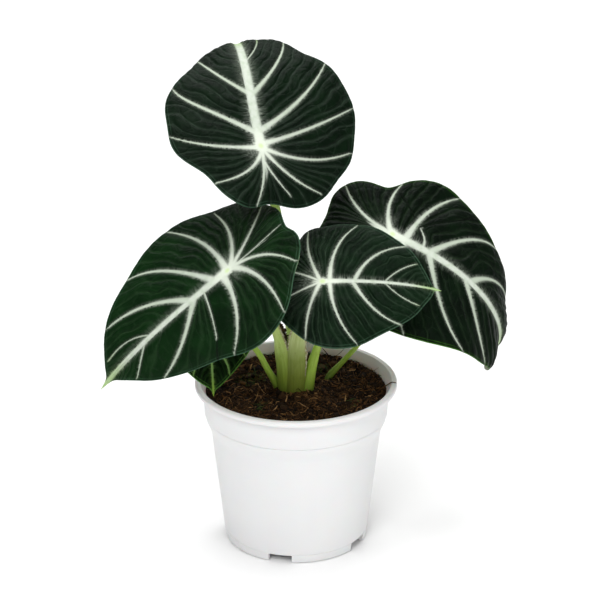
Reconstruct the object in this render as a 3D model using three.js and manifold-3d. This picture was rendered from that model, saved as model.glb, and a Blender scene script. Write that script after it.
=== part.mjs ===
// Potted alocasia: a young black-leaved alocasia in a round nursery pot.
//
// Six shield-shaped leaves stand on petioles that clasp each other in a short
// stem.  The pot has a collar below a rounded rim, a stepped wall, a foot ring
// with drainage notches and a raised floor with drainage holes.
//
// Millimetres, +Z up, front towards -Y.  The model is laid out about the pot's
// axis, and the whole is then moved so that the origin is under the middle of
// its bounding box, on the surface that the pot stands on.

import * as THREE from "three";
import { mergeVertices } from "three/addons/utils/BufferGeometryUtils.js";
import Module from "manifold-3d";

const wasm = await Module();
wasm.setup();

// ---------------------------------------------------------------- dimensions

const GAP = 0.35; // clearance kept between pieces that touch

const POT = {
  height: 100,
  rimRadius: 60,
  rimInnerRadius: 56.4,
  rimDrop: 3.7, // height of the rolled rim
  rimRound: 1.2,
  collarTopRadius: 55.3,
  collarBottomRadius: 54.3,
  collarBottom: 80.4, // where the collar steps in
  shoulderBottom: 71.5,
  wallTopRadius: 51,
  baseRadius: 43,
  wall: 1.5,
  floorUnderside: 6,
  floor: 1.5,
  footRing: 2.6, // radial width of the ring the pot stands on
  segments: 60,
};

const NOTCH = { count: 5, width: 14, height: 5, firstAngle: -102.8 };
const DRAIN = { count: 5, radius: 4.5, circle: 28, firstAngle: -66.8 };

const SOIL = { top: 94.2, crown: 0.9, edge: 93.2 };

const RHIZOME = { x: -0.5, y: 0.5, radius: 8.4, bottom: 58, top: 95.2 };

const LEAF = { thickness: 1.0, rings: 7, spokes: 36, notchWidth: 0.2, lobeWidth: 0.22 };

const PETIOLE_SIDES = 10;

// Each blade is laid out flat as an egg-shaped shield about the point where the
// petiole joins it: "heel" behind that point, the rest ahead of it, "left" and
// "right" half widths, a drip tip ahead and a shallow basal notch behind.
// "point" draws the widest place back from the tip, "full" squares the sides.
// "lobes" swell (or pinch) the margin by a fraction, each about one bearing in
// degrees.  The blade is then bent along its midrib (bendFront, with a curl at the
// very tip, and bendBack), its halves droop from a raised fold, and it twists
// and sways sideways.  Bends are in radians, the pose in degrees.
const BLADES = {
  leaf_top: {
    at: [-20, 5, 244], heading: 108, pitch: 45, roll: 13.5,
    length: 142, heel: 41, left: 51, right: 66, point: 0.46, full: 1,
    tip: 10, tipWidth: 0.17, notch: 5.5,
    bendFront: 1.05, late: 1.67, bendBack: 0.35,
    droopLeft: 0.42, droopRight: 0.15, fold: 0.01, twist: -0.22, sway: -0.22,
    lobes: [[-136, -0.05], [-92, 0.05], [-54, -0.06], [-27, 0.05], [38, 0.06],
      [62, -0.03], [84, 0.05], [113, 0.05], [134, -0.1]],
    color: 0x18241d,
  },
  leaf_left: {
    at: [-38.5, -35, 183.2], heading: 190, pitch: -39, roll: -20.5,
    length: 145, heel: 46.5, left: 50.5, right: 58.5, point: 1.03, full: 1,
    tip: 8.5, tipWidth: 0.15, notch: 5,
    bendFront: 0.38, late: 1.6, bendBack: 0.28,
    droopLeft: 0.87, droopRight: 0.34, fold: 0.11, twist: -0.56, sway: -0.09,
    lobes: [[-150, 0.03], [-130, 0.05], [-114, -0.06], [-45, 0.02], [50, 0.03],
      [82, -0.06], [145, -0.06], [165, 0.02]],
    color: 0x17251c,
  },
  leaf_middle: {
    at: [15.3, -25, 172.6], heading: -2, pitch: 3, roll: 29,
    length: 91.5, heel: 28.5, left: 46.5, right: 45, point: 0.77, full: 0.91,
    tip: 5, tipWidth: 0.12, notch: 6,
    bendFront: 0.18, late: 1.45, bendBack: 0.55,
    droopLeft: 0.5, droopRight: 0.46, fold: 0.13, twist: 0.39, sway: -0.07,
    lobes: [[-137, -0.03], [-72, -0.02], [-42, 0.035], [-20, 0.03], [45, 0.02],
      [110, -0.04], [130, 0.03]],
    color: 0x1a261f,
  },
  leaf_right: {
    at: [56.7, 20, 184.4], heading: -10.6, pitch: -23, roll: 28.7,
    length: 156, heel: 46.3, left: 51, right: 58, point: 0.6, full: 1.07,
    tip: 12, tipWidth: 0.13, notch: 3.1,
    bendFront: 1.36, late: 1.87, curl: 0.42, bendBack: 0.81,
    droopLeft: 0.06, droopRight: 0.31, fold: -0.03, twist: -0.07, sway: -0.09,
    lobes: [[-45, 0.05], [-25, 0.1], [30, 0.03], [52, 0.04], [98, 0.06],
      [130, -0.22], [152, 0.03]],
    color: 0x14211a,
  },
  leaf_small: {
    at: [-51.3, 6.2, 147], heading: -84, pitch: -56, roll: 2,
    length: 74, heel: 21, left: 28, right: 29, point: 0.62, full: 1,
    tip: 4, tipWidth: 0.13, notch: 3,
    bendFront: -0.1, late: 1.5, bendBack: 0.2,
    droopLeft: 0.3, droopRight: 0.5, fold: 0.1, twist: 0, sway: 0,
    lobes: [[-60, 0.02], [70, 0.03]],
    color: 0x1c3a20,
  },
  leaf_offset: {
    at: [52, 32, 134], heading: 6, pitch: -8, roll: 8,
    length: 60, heel: 17, left: 20, right: 20, point: 0.9, full: 1,
    tip: 5, tipWidth: 0.15, notch: 3,
    bendFront: 0.5, late: 1.5, bendBack: 0.2,
    droopLeft: 0.3, droopRight: 0.3, fold: 0.12, twist: 0, sway: 0,
    lobes: [[-60, 0.03], [80, 0.02]],
    color: 0x1c3a20,
  },
};

// Petioles: points from the rhizome up to just under the blade, each with the
// half width (along X) and half depth of the section there.  "end" is the
// radius at the blade.  A petiole is cut back by the ones listed before it,
// which it clasps.
const STALKS = {
  petiole_top: {
    blade: "leaf_top", end: 2.3, reach: 16,
    points: [[1, 4.5, 80, 4.2, 4.2], [0.6, 4.9, 96, 4.2, 4.2], [-2.4, 7.5, 125, 3.3, 3.2],
      [-7.6, 13, 168, 2.8, 2.8], [-13, 17, 206, 2.7, 2.7]],
    color: 0xa9bd6a,
  },
  petiole_right: {
    blade: "leaf_right", end: 2, reach: 14,
    points: [[5.4, -2.4, 80, 4.2, 4], [6.6, -2.8, 96, 4.1, 4], [9.5, -1, 110, 3.1, 3.1],
      [13.3, 1.6, 122, 2.3, 2.3], [27.5, 13.5, 152, 2.2, 2.2]],
    color: 0x9cc45c,
  },
  petiole_left: {
    blade: "leaf_left", end: 2.3, reach: 16,
    points: [[-5.2, -1.6, 80, 4.4, 4.4], [-6.4, -2.2, 96, 4.3, 4.3], [-8, -3.8, 112, 3.5, 3.5],
      [-9.9, -6, 128, 3, 3], [-18, -14, 153, 2.6, 2.6]],
    color: 0xaec277,
  },
  petiole_middle: {
    blade: "leaf_middle", end: 2.2, reach: 12,
    points: [[-0.6, -3.2, 80, 6.4, 5], [-0.4, -3.6, 96, 6.4, 5], [0.1, -4.6, 112, 6.3, 4],
      [0.6, -6.2, 128, 5.4, 3.2], [4.5, -11, 146, 2.9, 2.5]],
    color: 0xb4c583,
  },
  petiole_small: {
    blade: "leaf_small", end: 1.4, reach: 8,
    points: [[-8.6, -0.6, 84, 2.5, 2.5], [-10.9, -1, 95.5, 2.4, 2.4], [-16.6, -1.6, 107, 1.9, 1.9],
      [-23, -0.5, 118.6, 1.7, 1.7], [-36.5, 5, 131, 1.6, 1.6]],
    color: 0xa3c763,
  },
  petiole_offset: {
    blade: "leaf_offset", end: 1.2, reach: 8,
    points: [[14.5, 12, 84, 2.3, 2.3], [20.2, 15, 95.5, 2.1, 2.1], [27.5, 16.6, 103.5, 1.6, 1.6],
      [35, 18.5, 111.6, 1.5, 1.5]],
    color: 0x9dc25a,
  },
};

const POT_COLOR = 0xe9e9e7;
const SOIL_COLOR = 0x3a2419;
const RHIZOME_COLOR = 0x8d8f5c;

// ------------------------------------------------------------------- helpers

const rad = THREE.MathUtils.degToRad;

function meshFrom(positions, triangles) {
  const geometry = new THREE.BufferGeometry();
  geometry.setAttribute("position", new THREE.Float32BufferAttribute(positions, 3));
  geometry.setIndex(triangles);
  geometry.computeVertexNormals();
  return geometry;
}

function toSolid(geometry) {
  const bare = geometry.clone();
  bare.deleteAttribute("normal");
  bare.deleteAttribute("uv");
  const merged = mergeVertices(bare, 1e-4);
  return new wasm.Manifold(
    new wasm.Mesh({
      numProp: 3,
      vertProperties: merged.attributes.position.array,
      triVerts: new Uint32Array(merged.index.array),
    }),
  );
}

function toGeometry(solid) {
  const { vertProperties, triVerts } = solid.getMesh();
  return meshFrom(Array.from(vertProperties), Array.from(triVerts));
}

function piece(name, geometry, color, roughness) {
  const material = new THREE.MeshStandardMaterial({ color, roughness, metalness: 0 });
  const mesh = new THREE.Mesh(geometry, material);
  mesh.name = name;
  return mesh;
}

// A closed profile of [radius, height] turned about Z.
function turned(profile, segments) {
  const points = profile.map(([r, z]) => new THREE.Vector2(r, z));
  return new THREE.LatheGeometry(points, segments).rotateX(Math.PI / 2);
}

// ----------------------------------------------------------------------- pot

function potGeometry() {
  const p = POT;
  const inner = p.wall;
  const rimFoot = p.height - p.rimDrop;
  const floorTop = p.floorUnderside + p.floor;
  const ring = p.baseRadius - p.footRing;
  const outside = [
    [ring, p.floorUnderside], [ring + 0.3, 0], [p.baseRadius - 0.4, 0], [p.baseRadius, 0.6],
    [p.wallTopRadius, p.shoulderBottom],
    [p.wallTopRadius + 1, p.shoulderBottom + 2.2], [p.collarBottomRadius - 0.5, p.collarBottom - 1.2],
    [p.collarBottomRadius, p.collarBottom],
    [p.collarTopRadius, rimFoot - 0.6], [p.collarTopRadius + 0.6, rimFoot],
    [p.rimRadius - 0.9, rimFoot], [p.rimRadius, rimFoot + 0.9],
    [p.rimRadius, p.height - p.rimRound], [p.rimRadius - 0.4, p.height - 0.35],
    [p.rimRadius - p.rimRound, p.height],
  ];
  const inside = [
    [p.rimInnerRadius + 0.7, p.height], [p.rimInnerRadius, p.height - 0.6],
    [p.collarTopRadius - inner, rimFoot - 0.6],
    [p.collarBottomRadius - inner, p.collarBottom - 0.8],
    [p.wallTopRadius - inner, p.shoulderBottom - 0.6],
    [p.baseRadius - inner + 0.5, floorTop + 2], [p.baseRadius - inner - 1, floorTop],
    [0, floorTop],
  ];
  const shell = turned([[0, p.floorUnderside], ...outside, ...inside], p.segments);
  let solid = toSolid(shell);
  for (let i = 0; i < NOTCH.count; i++) {
    const turn = rad(NOTCH.firstAngle + (360 / NOTCH.count) * i);
    const cutter = new THREE.BoxGeometry(12, NOTCH.width, 2 * NOTCH.height)
      .translate(p.baseRadius - 1, 0, 0)
      .rotateZ(turn);
    solid = solid.subtract(toSolid(cutter));
  }
  for (let i = 0; i < DRAIN.count; i++) {
    const turn = rad(DRAIN.firstAngle + (360 / DRAIN.count) * i);
    const cutter = new THREE.CylinderGeometry(DRAIN.radius, DRAIN.radius, 8, 16)
      .rotateX(Math.PI / 2)
      .translate(DRAIN.circle, 0, p.floorUnderside + p.floor / 2)
      .rotateZ(turn);
    solid = solid.subtract(toSolid(cutter));
  }
  return toGeometry(solid);
}

// ------------------------------------------------------------ soil and stem

function soilGeometry(roots) {
  const p = POT;
  const g = p.wall + GAP;
  const floorTop = p.floorUnderside + p.floor + GAP;
  const profile = [
    [0, floorTop],
    [p.baseRadius - g - 1.2, floorTop],
    [p.baseRadius - g + 0.35, floorTop + 2],
    [p.wallTopRadius - g, p.shoulderBottom - 0.6],
    [p.collarBottomRadius - g - 0.1, p.collarBottom - 0.6],
    [p.collarTopRadius - g - 0.2, SOIL.edge - 0.5],
    [p.collarTopRadius - g - 1.6, SOIL.edge + 0.3],
    [44, SOIL.top - 0.4],
    [30, SOIL.top + 0.3],
    [14, SOIL.top + SOIL.crown],
    [0, SOIL.top + SOIL.crown],
  ];
  let solid = toSolid(turned(profile, 40));
  for (const root of roots) solid = solid.subtract(root);
  return toGeometry(solid);
}

function rhizomeGeometry(grow) {
  const { radius, bottom, top } = RHIZOME;
  const r = radius + grow;
  const profile = [
    [0, bottom - grow], [r * 0.55, bottom - grow], [r * 0.9, bottom + 5], [r, bottom + 14],
    [r * 0.97, top - 7], [r * 0.8, top - 1.5 + grow], [r * 0.5, top + grow], [0, top + grow],
  ];
  return turned(profile, 20).translate(RHIZOME.x, RHIZOME.y, 0);
}

// -------------------------------------------------------------------- blades

function outline(theta, b) {
  const phi = Math.min(Math.max(Math.abs(theta), 1e-9), Math.PI - 1e-9);
  const half = b.length / 2;
  const shape = (t) => Math.sin(t) ** b.full * Math.sin(t / 2) ** b.point;
  b.peak ??= Math.max(...Array.from({ length: 999 }, (_, i) => shape(((i + 1) * Math.PI) / 1000)));
  const width = (theta >= 0 ? b.left : b.right) * (shape(phi) / b.peak);
  const s = half - b.heel + half * Math.cos(phi)
    + b.tip * Math.exp(-((phi / b.tipWidth) ** 2))
    + b.notch * Math.exp(-(((Math.PI - phi) / LEAF.notchWidth) ** 2));
  let swell = 1;
  for (const [bearing, amount] of b.lobes) {
    const away = Math.atan2(Math.sin(theta - rad(bearing)), Math.cos(theta - rad(bearing)));
    swell += amount * Math.exp(-((away / LEAF.lobeWidth) ** 2));
  }
  return [s * swell, Math.sign(theta) * width * swell];
}

// Position along the bent midrib and the direction it has turned to.
function midrib(s, b) {
  const ahead = b.length - b.heel;
  const turn = (u) =>
    -b.bendFront * (Math.max(u, 0) / ahead) ** b.late
    - (b.curl ?? 0) * (Math.max(u, 0) / ahead) ** 8
    + b.bendBack * (Math.max(-u, 0) / b.heel) ** 1.5;
  const steps = 24;
  let x = 0;
  let z = 0;
  for (let i = 0; i < steps; i++) {
    const t = turn((s * (i + 0.5)) / steps);
    x += (s / steps) * Math.cos(t);
    z += (s / steps) * Math.sin(t);
  }
  return [x, z, turn(s)];
}

// The middle surface of the blade: flat (s, w) to its bent place.
function bladePoint(s, w, b) {
  const side = w >= 0 ? 1 : -1;
  const halfWidth = side > 0 ? b.left : b.right;
  const droop = side > 0 ? b.droopLeft : b.droopRight;
  const c = Math.abs(droop) < 1e-3 ? 1e-3 : droop;
  const u = Math.abs(w) / halfWidth;
  const ahead = b.length - b.heel;
  let y = ((side * halfWidth) / c) * (Math.sin(c * u - b.fold) + Math.sin(b.fold));
  let z = (halfWidth / c) * (Math.cos(c * u - b.fold) - Math.cos(b.fold));
  const twist = (b.twist * s) / ahead;
  [y, z] = [y * Math.cos(twist) - z * Math.sin(twist), y * Math.sin(twist) + z * Math.cos(twist)];
  y += (b.sway * Math.max(s, 0) ** 2) / ahead;
  const [mx, mz, turn] = midrib(s, b);
  return new THREE.Vector3(mx - Math.sin(turn) * z, y, mz + Math.cos(turn) * z);
}

function bladeNormal(s, w, b) {
  const d = 0.5;
  const along = bladePoint(s + d, w, b).sub(bladePoint(s - d, w, b));
  const across = bladePoint(s, w + d, b).sub(bladePoint(s, w - d, b));
  return along.cross(across).normalize();
}

function bladeGeometry(b) {
  const { rings, spokes, thickness } = LEAF;
  const positions = [];
  const triangles = [];
  // Spokes stand closer together towards the tip and the notch.
  const bearings = Array.from({ length: spokes }, (_, k) => {
    const u = (2 * k) / spokes - 1;
    return Math.PI * u - 0.3 * Math.sin(2 * Math.PI * u);
  });
  const add = (s, w) => {
    const at = bladePoint(s, w, b);
    const n = bladeNormal(s, w, b).multiplyScalar(thickness / 2);
    positions.push(at.x + n.x, at.y + n.y, at.z + n.z, at.x - n.x, at.y - n.y, at.z - n.z);
  };
  add(0, 0);
  for (let r = 1; r <= rings; r++) {
    const share = (r / rings) ** 0.85;
    for (const theta of bearings) {
      const [s, w] = outline(theta, b);
      add(s * share, w * share);
    }
  }
  const upper = (r, k) => (r === 0 ? 0 : 2 * (1 + (r - 1) * spokes + (k % spokes)));
  const lower = (r, k) => upper(r, k) + 1;
  for (let k = 0; k < spokes; k++) {
    triangles.push(upper(0, 0), upper(1, k), upper(1, k + 1));
    triangles.push(lower(0, 0), lower(1, k + 1), lower(1, k));
    for (let r = 1; r < rings; r++) {
      triangles.push(upper(r, k), upper(r + 1, k), upper(r + 1, k + 1));
      triangles.push(upper(r, k), upper(r + 1, k + 1), upper(r, k + 1));
      triangles.push(lower(r, k), lower(r + 1, k + 1), lower(r + 1, k));
      triangles.push(lower(r, k), lower(r, k + 1), lower(r + 1, k + 1));
    }
    triangles.push(upper(rings, k), lower(rings, k), lower(rings, k + 1));
    triangles.push(upper(rings, k), lower(rings, k + 1), upper(rings, k + 1));
  }
  return meshFrom(positions, triangles);
}

function placeBlade(object, b) {
  object.position.set(...b.at);
  object.rotation.copy(new THREE.Euler(rad(b.roll), -rad(b.pitch), rad(b.heading), "ZYX"));
  object.updateMatrix();
  return object;
}

// ------------------------------------------------------------------ petioles

// A tapering tube with closed ends through the stalk's points, ending square
// to the blade just under it.
function stalkGeometry(stalk, grow) {
  const blade = placeBlade(new THREE.Object3D(), BLADES[stalk.blade]);
  const joint = blade.position.clone();
  const up = new THREE.Vector3(0, 0, 1).applyQuaternion(blade.quaternion);
  const points = stalk.points.map(([x, y, z]) => new THREE.Vector3(x, y, z));
  const widths = stalk.points.map(([, , , a]) => a);
  const depths = stalk.points.map(([, , , , d]) => d);
  for (const below of [stalk.reach, LEAF.thickness / 2 + 0.45]) {
    points.push(joint.clone().addScaledVector(up, -below));
    widths.push(stalk.end);
    depths.push(stalk.end);
  }
  const curve = new THREE.CatmullRomCurve3(points, false, "centripetal");
  const steps = 4 * (points.length - 1);
  const positions = [];
  const triangles = [];
  const lerp = (list, t) => {
    const at = t * (list.length - 1);
    const i = Math.min(Math.floor(at), list.length - 2);
    return THREE.MathUtils.lerp(list[i], list[i + 1], at - i);
  };
  for (let i = 0; i <= steps; i++) {
    const t = i / steps;
    const centre = curve.getPoint(t);
    const along = i === steps ? up.clone() : curve.getTangent(t);
    const across = new THREE.Vector3(1, 0, 0).addScaledVector(along, -along.x).normalize();
    const back = along.clone().cross(across);
    for (let k = 0; k < PETIOLE_SIDES; k++) {
      const turn = (2 * Math.PI * k) / PETIOLE_SIDES;
      const v = centre.clone()
        .addScaledVector(across, (lerp(widths, t) + grow) * Math.cos(turn))
        .addScaledVector(back, (lerp(depths, t) + grow) * Math.sin(turn));
      positions.push(v.x, v.y, v.z);
    }
  }
  const ring = (i, k) => i * PETIOLE_SIDES + (k % PETIOLE_SIDES);
  for (let k = 0; k < PETIOLE_SIDES; k++) {
    for (let i = 0; i < steps; i++) {
      triangles.push(ring(i, k), ring(i, k + 1), ring(i + 1, k + 1));
      triangles.push(ring(i, k), ring(i + 1, k + 1), ring(i + 1, k));
    }
    if (k > 0 && k < PETIOLE_SIDES - 1) {
      triangles.push(ring(0, 0), ring(0, k + 1), ring(0, k));
      triangles.push(ring(steps, 0), ring(steps, k), ring(steps, k + 1));
    }
  }
  return meshFrom(positions, triangles);
}

// ------------------------------------------------------------------ assembly

const plant = new THREE.Group();

plant.add(piece("pot", potGeometry(), POT_COLOR, 0.5));

const rhizome = rhizomeGeometry(0);
plant.add(piece("rhizome", rhizome, RHIZOME_COLOR, 0.8));

const grown = [toSolid(rhizomeGeometry(GAP))];
for (const [name, stalk] of Object.entries(STALKS)) {
  let solid = toSolid(stalkGeometry(stalk, 0));
  for (const neighbour of grown) solid = solid.subtract(neighbour);
  // A cut can leave crumbs: the petiole is the largest body.
  const bodies = solid.decompose().sort((a, b) => b.volume() - a.volume());
  plant.add(piece(name, toGeometry(bodies[0]), stalk.color, 0.5));
  grown.push(toSolid(stalkGeometry(stalk, GAP)));
}

plant.add(piece("soil", soilGeometry(grown), SOIL_COLOR, 1));

for (const [name, blade] of Object.entries(BLADES))
  plant.add(placeBlade(piece(name, bladeGeometry(blade), blade.color, 0.45), blade));

plant.updateMatrixWorld(true);
const box = new THREE.Box3().setFromObject(plant, true);
const middle = box.getCenter(new THREE.Vector3());
plant.position.set(-middle.x, -middle.y, -box.min.z);

const pottedAlocasia = new THREE.Group();
pottedAlocasia.add(plant);

export default pottedAlocasia;
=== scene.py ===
from math import cos, degrees, pi, radians, sin

import bmesh
import bpy
import numpy as np
from mathutils import Euler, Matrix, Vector
from mathutils.geometry import delaunay_2d_cdt


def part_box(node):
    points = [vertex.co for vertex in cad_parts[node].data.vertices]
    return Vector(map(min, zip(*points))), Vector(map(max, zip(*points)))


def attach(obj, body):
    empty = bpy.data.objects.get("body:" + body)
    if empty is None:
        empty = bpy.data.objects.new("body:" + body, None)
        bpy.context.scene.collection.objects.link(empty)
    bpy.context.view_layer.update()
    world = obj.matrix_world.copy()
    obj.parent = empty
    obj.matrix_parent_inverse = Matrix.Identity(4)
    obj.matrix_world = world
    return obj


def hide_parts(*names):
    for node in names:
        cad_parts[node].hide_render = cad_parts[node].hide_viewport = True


# Potted alocasia: black-green shield leaves with silvery veins, on clasping
# stalks, in a white nursery pot.  Sizes are in millimetres about the pot's
# axis and become metres in the row's frame when a mesh is made.

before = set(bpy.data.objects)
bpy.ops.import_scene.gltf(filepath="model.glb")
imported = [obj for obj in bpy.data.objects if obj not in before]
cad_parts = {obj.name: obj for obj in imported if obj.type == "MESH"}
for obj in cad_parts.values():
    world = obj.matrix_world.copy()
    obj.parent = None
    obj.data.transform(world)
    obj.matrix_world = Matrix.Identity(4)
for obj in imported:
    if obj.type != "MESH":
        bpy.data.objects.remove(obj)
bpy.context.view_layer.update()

MM = 0.001
pot_low, pot_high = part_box("pot")
AXIS = np.array([(pot_low[0] + pot_high[0]) / 2, (pot_low[1] + pot_high[1]) / 2, 0.0])


def metres(points):
    return np.asarray(points, float) * MM + AXIS


def in_scene(name, data):
    thing = bpy.data.objects.new(name, data)
    bpy.context.collection.objects.link(thing)
    return thing


def around(sides):
    """Evenly spaced angles, once round."""
    return np.linspace(0, 2 * pi, sides, endpoint=False)


def polar(radius, angle):
    return radius * cos(radians(angle)), radius * sin(radians(angle))


def unit(vectors, guard=0.0):
    return vectors / (np.linalg.norm(vectors, axis=-1, keepdims=True) + guard)


# ------------------------------------------------------------ camera, light

DISTANCE, EYE_HEIGHT, SIDESTEP, LOOK_DOWN, LENS = 1200, 648, 2.4, 22.5, 133.3

camera_data = bpy.data.cameras.new("camera")
camera_data.lens = LENS
camera_data.sensor_width = 36
camera_data.clip_start = 0.05
camera = in_scene("camera", camera_data)
camera.location = metres([SIDESTEP, -DISTANCE, EYE_HEIGHT])
camera.rotation_euler = (radians(90 - LOOK_DOWN), 0, 0)
scene = bpy.context.scene
scene.camera = camera
scene.view_settings.view_transform = "Standard"


def softbox(name, place, aim, size, power):
    data = bpy.data.lights.new(name, "AREA")
    data.shape = "RECTANGLE"
    data.size, data.size_y = size
    data.energy = power
    light = in_scene(name, data)
    light.location = Vector(place)
    light.rotation_euler = (Vector(aim) - Vector(place)).to_track_quat("-Z", "Y").to_euler()


softbox("key", (-0.4, -1.45, 1.45), (0, 0, 0.15), (0.8, 0.8), 18)
softbox("fill", (1.3, -1.2, 0.9), (0, 0, 0.15), (0.8, 0.8), 7)
softbox("top", (-0.1, 0.0, 1.9), (0, 0, 0.1), (1.2, 1.2), 22)
softbox("backdrop", (0, 2.3, 2.2), (0, 1.9, 0), (3.0, 1.6), 42)

world = bpy.data.worlds.new("studio")
world.use_nodes = True
world.node_tree.nodes["Background"].inputs["Color"].default_value = (1, 1, 1, 1)
world.node_tree.nodes["Background"].inputs["Strength"].default_value = 0.3
scene.world = world


# ------------------------------------------------------------- node helpers


class Nodes:
    """A material's node tree, with one short call for each node."""

    def __init__(self, name, **constants):
        self.material = bpy.data.materials.new(name)
        self.material.use_nodes = True
        self.tree = self.material.node_tree
        self.shader = self.tree.nodes["Principled BSDF"]
        for socket, value in constants.items():
            self.shader.inputs[socket.replace("_", " ")].default_value = value

    def node(self, kind, inputs=None, **settings):
        n = self.tree.nodes.new("ShaderNode" + kind)
        for key, value in settings.items():
            setattr(n, key, value)
        for key, value in (inputs or {}).items():
            self.put(n.inputs[key], value)
        return n

    def put(self, socket, value):
        if isinstance(value, bpy.types.NodeSocket):
            self.tree.links.new(value, socket)
        elif isinstance(value, tuple) and len(value) == 3 and socket.type == "RGBA":
            socket.default_value = (*value, 1)
        else:
            socket.default_value = value

    def attribute(self, name, output="Fac"):
        return self.node("Attribute", attribute_name=name).outputs[output]

    def math(self, operation, a, b=0.0, c=None):
        n = self.node("Math", operation=operation)
        self.put(n.inputs[0], a)
        self.put(n.inputs[1], b)
        if c is not None:
            self.put(n.inputs[2], c)
        return n.outputs[0]

    def times(self, a, b):
        return self.math("MULTIPLY", a, b)

    def plus(self, a, b):
        return self.math("ADD", a, b)

    def minus(self, a, b):
        return self.math("SUBTRACT", a, b)

    def over(self, a, b):
        return self.math("DIVIDE", a, b)

    def most(self, a, b):
        return self.math("MAXIMUM", a, b)

    def least(self, a, b):
        return self.math("MINIMUM", a, b)

    def line(self, a, slope, start):
        """a * slope + start"""
        return self.math("MULTIPLY_ADD", a, slope, start)

    def step(self, value, low, high, to_low=0.0, to_high=1.0):
        """Smooth step of value from low to high."""
        n = self.node("MapRange", interpolation_type="SMOOTHSTEP")
        keys = ("Value", "From Min", "From Max", "To Min", "To Max")
        for key, v in zip(keys, (value, low, high, to_low, to_high)):
            self.put(n.inputs[key], v)
        return n.outputs["Result"]

    def fade(self, value, low, high):
        """Smooth step down, from 1 at low to 0 at high."""
        return self.step(value, low, high, 1.0, 0.0)

    def off_whole(self, value):
        """Distance from a value to the nearest whole number."""
        return self.math("ABSOLUTE", self.minus(self.math("FRACT", self.plus(value, 0.5)), 0.5))

    def vector(self, x, y, z=0.0):
        n = self.node("CombineXYZ")
        for socket, v in zip(n.inputs, (x, y, z)):
            self.put(socket, v)
        return n.outputs[0]

    def length(self, vector):
        return self.node("VectorMath", {0: vector}, operation="LENGTH").outputs["Value"]

    def place(self):
        return self.node("TexCoord").outputs["Object"]

    def cell_edges(self, vector, scale):
        n = self.node("TexVoronoi", {"Vector": vector, "Scale": scale}, feature="DISTANCE_TO_EDGE")
        return n.outputs["Distance"]

    def noise(self, vector, scale, detail=2.0, roughness=0.5):
        n = self.node("TexNoise", {"Scale": scale, "Detail": detail, "Roughness": roughness})
        self.put(n.inputs["Vector"], vector)
        return n.outputs["Fac"]

    def mix(self, factor, a, b, blend="MIX"):
        n = self.node("Mix", data_type="RGBA", blend_type=blend)
        self.put(n.inputs[0], factor)
        self.put(n.inputs[6], a)
        self.put(n.inputs[7], b)
        return n.outputs[2]

    def ramp(self, factor, *stops):
        n = self.node("ValToRGB", {"Fac": factor})
        elements = n.color_ramp.elements
        while len(elements) < len(stops):
            elements.new(0.5)
        for element, (place, colour) in zip(elements, stops):
            element.position = place
            element.color = (*colour, 1)
        return n.outputs["Color"]

    def bump(self, height, strength, distance):
        n = self.node("Bump", {"Strength": strength, "Distance": distance})
        self.put(n.inputs["Height"], height)
        return n.outputs["Normal"]

    def surface(self, **links):
        for socket, value in links.items():
            self.put(self.shader.inputs[socket.replace("_", " ")], value)
        return self.material


# ------------------------------------------------------------- mesh helpers


def make_object(name, points, faces, materials, face_materials=None):
    mesh = bpy.data.meshes.new(name)
    mesh.from_pydata(metres(points).tolist(), [], faces)
    for material in materials:
        mesh.materials.append(material)
    if face_materials is not None:
        mesh.polygons.foreach_set("material_index", np.asarray(face_materials, np.int32))
    mesh.polygons.foreach_set("use_smooth", np.full(len(mesh.polygons), True))
    mesh.update()
    return in_scene(name, mesh)


def add_attribute(piece, name, values):
    values = np.asarray(values, np.float32)
    kind, key = ("FLOAT", "value") if values.ndim == 1 else ("FLOAT_VECTOR", "vector")
    piece.data.attributes.new(name, kind, "POINT").data.foreach_set(key, values.ravel())


def add_map(piece, flat):
    """A UV map from one flat place for each vertex."""
    layer = piece.data.uv_layers.new(name="OFBake")
    corners = np.empty(len(piece.data.loops), np.int32)
    piece.data.loops.foreach_get("vertex_index", corners)
    layer.data.foreach_set("uv", np.asarray(flat, np.float32)[corners].ravel())


def lattice(rows, sides, first=0):
    """Quads between neighbouring rings of points, each ring closed on itself."""
    faces = []
    for i in range(first, first + (rows - 1) * sides, sides):
        for k in range(sides):
            j = (k + 1) % sides
            faces.append((i + k, i + j, i + sides + j, i + sides + k))
    return faces


def fan(centre, first, sides):
    """Triangles from a centre point to the ring that starts at first."""
    return [(centre, first + k, first + (k + 1) % sides) for k in range(sides)]


def turned(faces):
    """The same faces, seen from their other side."""
    return [(f[0], *f[:0:-1]) for f in faces]


def closed_tube(rows, sides):
    """The faces of a tube whose foot and head points come after its rings."""
    foot, last = rows * sides, (rows - 1) * sides
    return lattice(rows, sides) + turned(fan(foot, 0, sides)) + fan(foot + 1, last, sides)


def adopt(piece, slot, *nodes):
    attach(piece, "root")
    if nodes:
        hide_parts(*nodes)


# ------------------------------------------------------------------- blades

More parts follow.
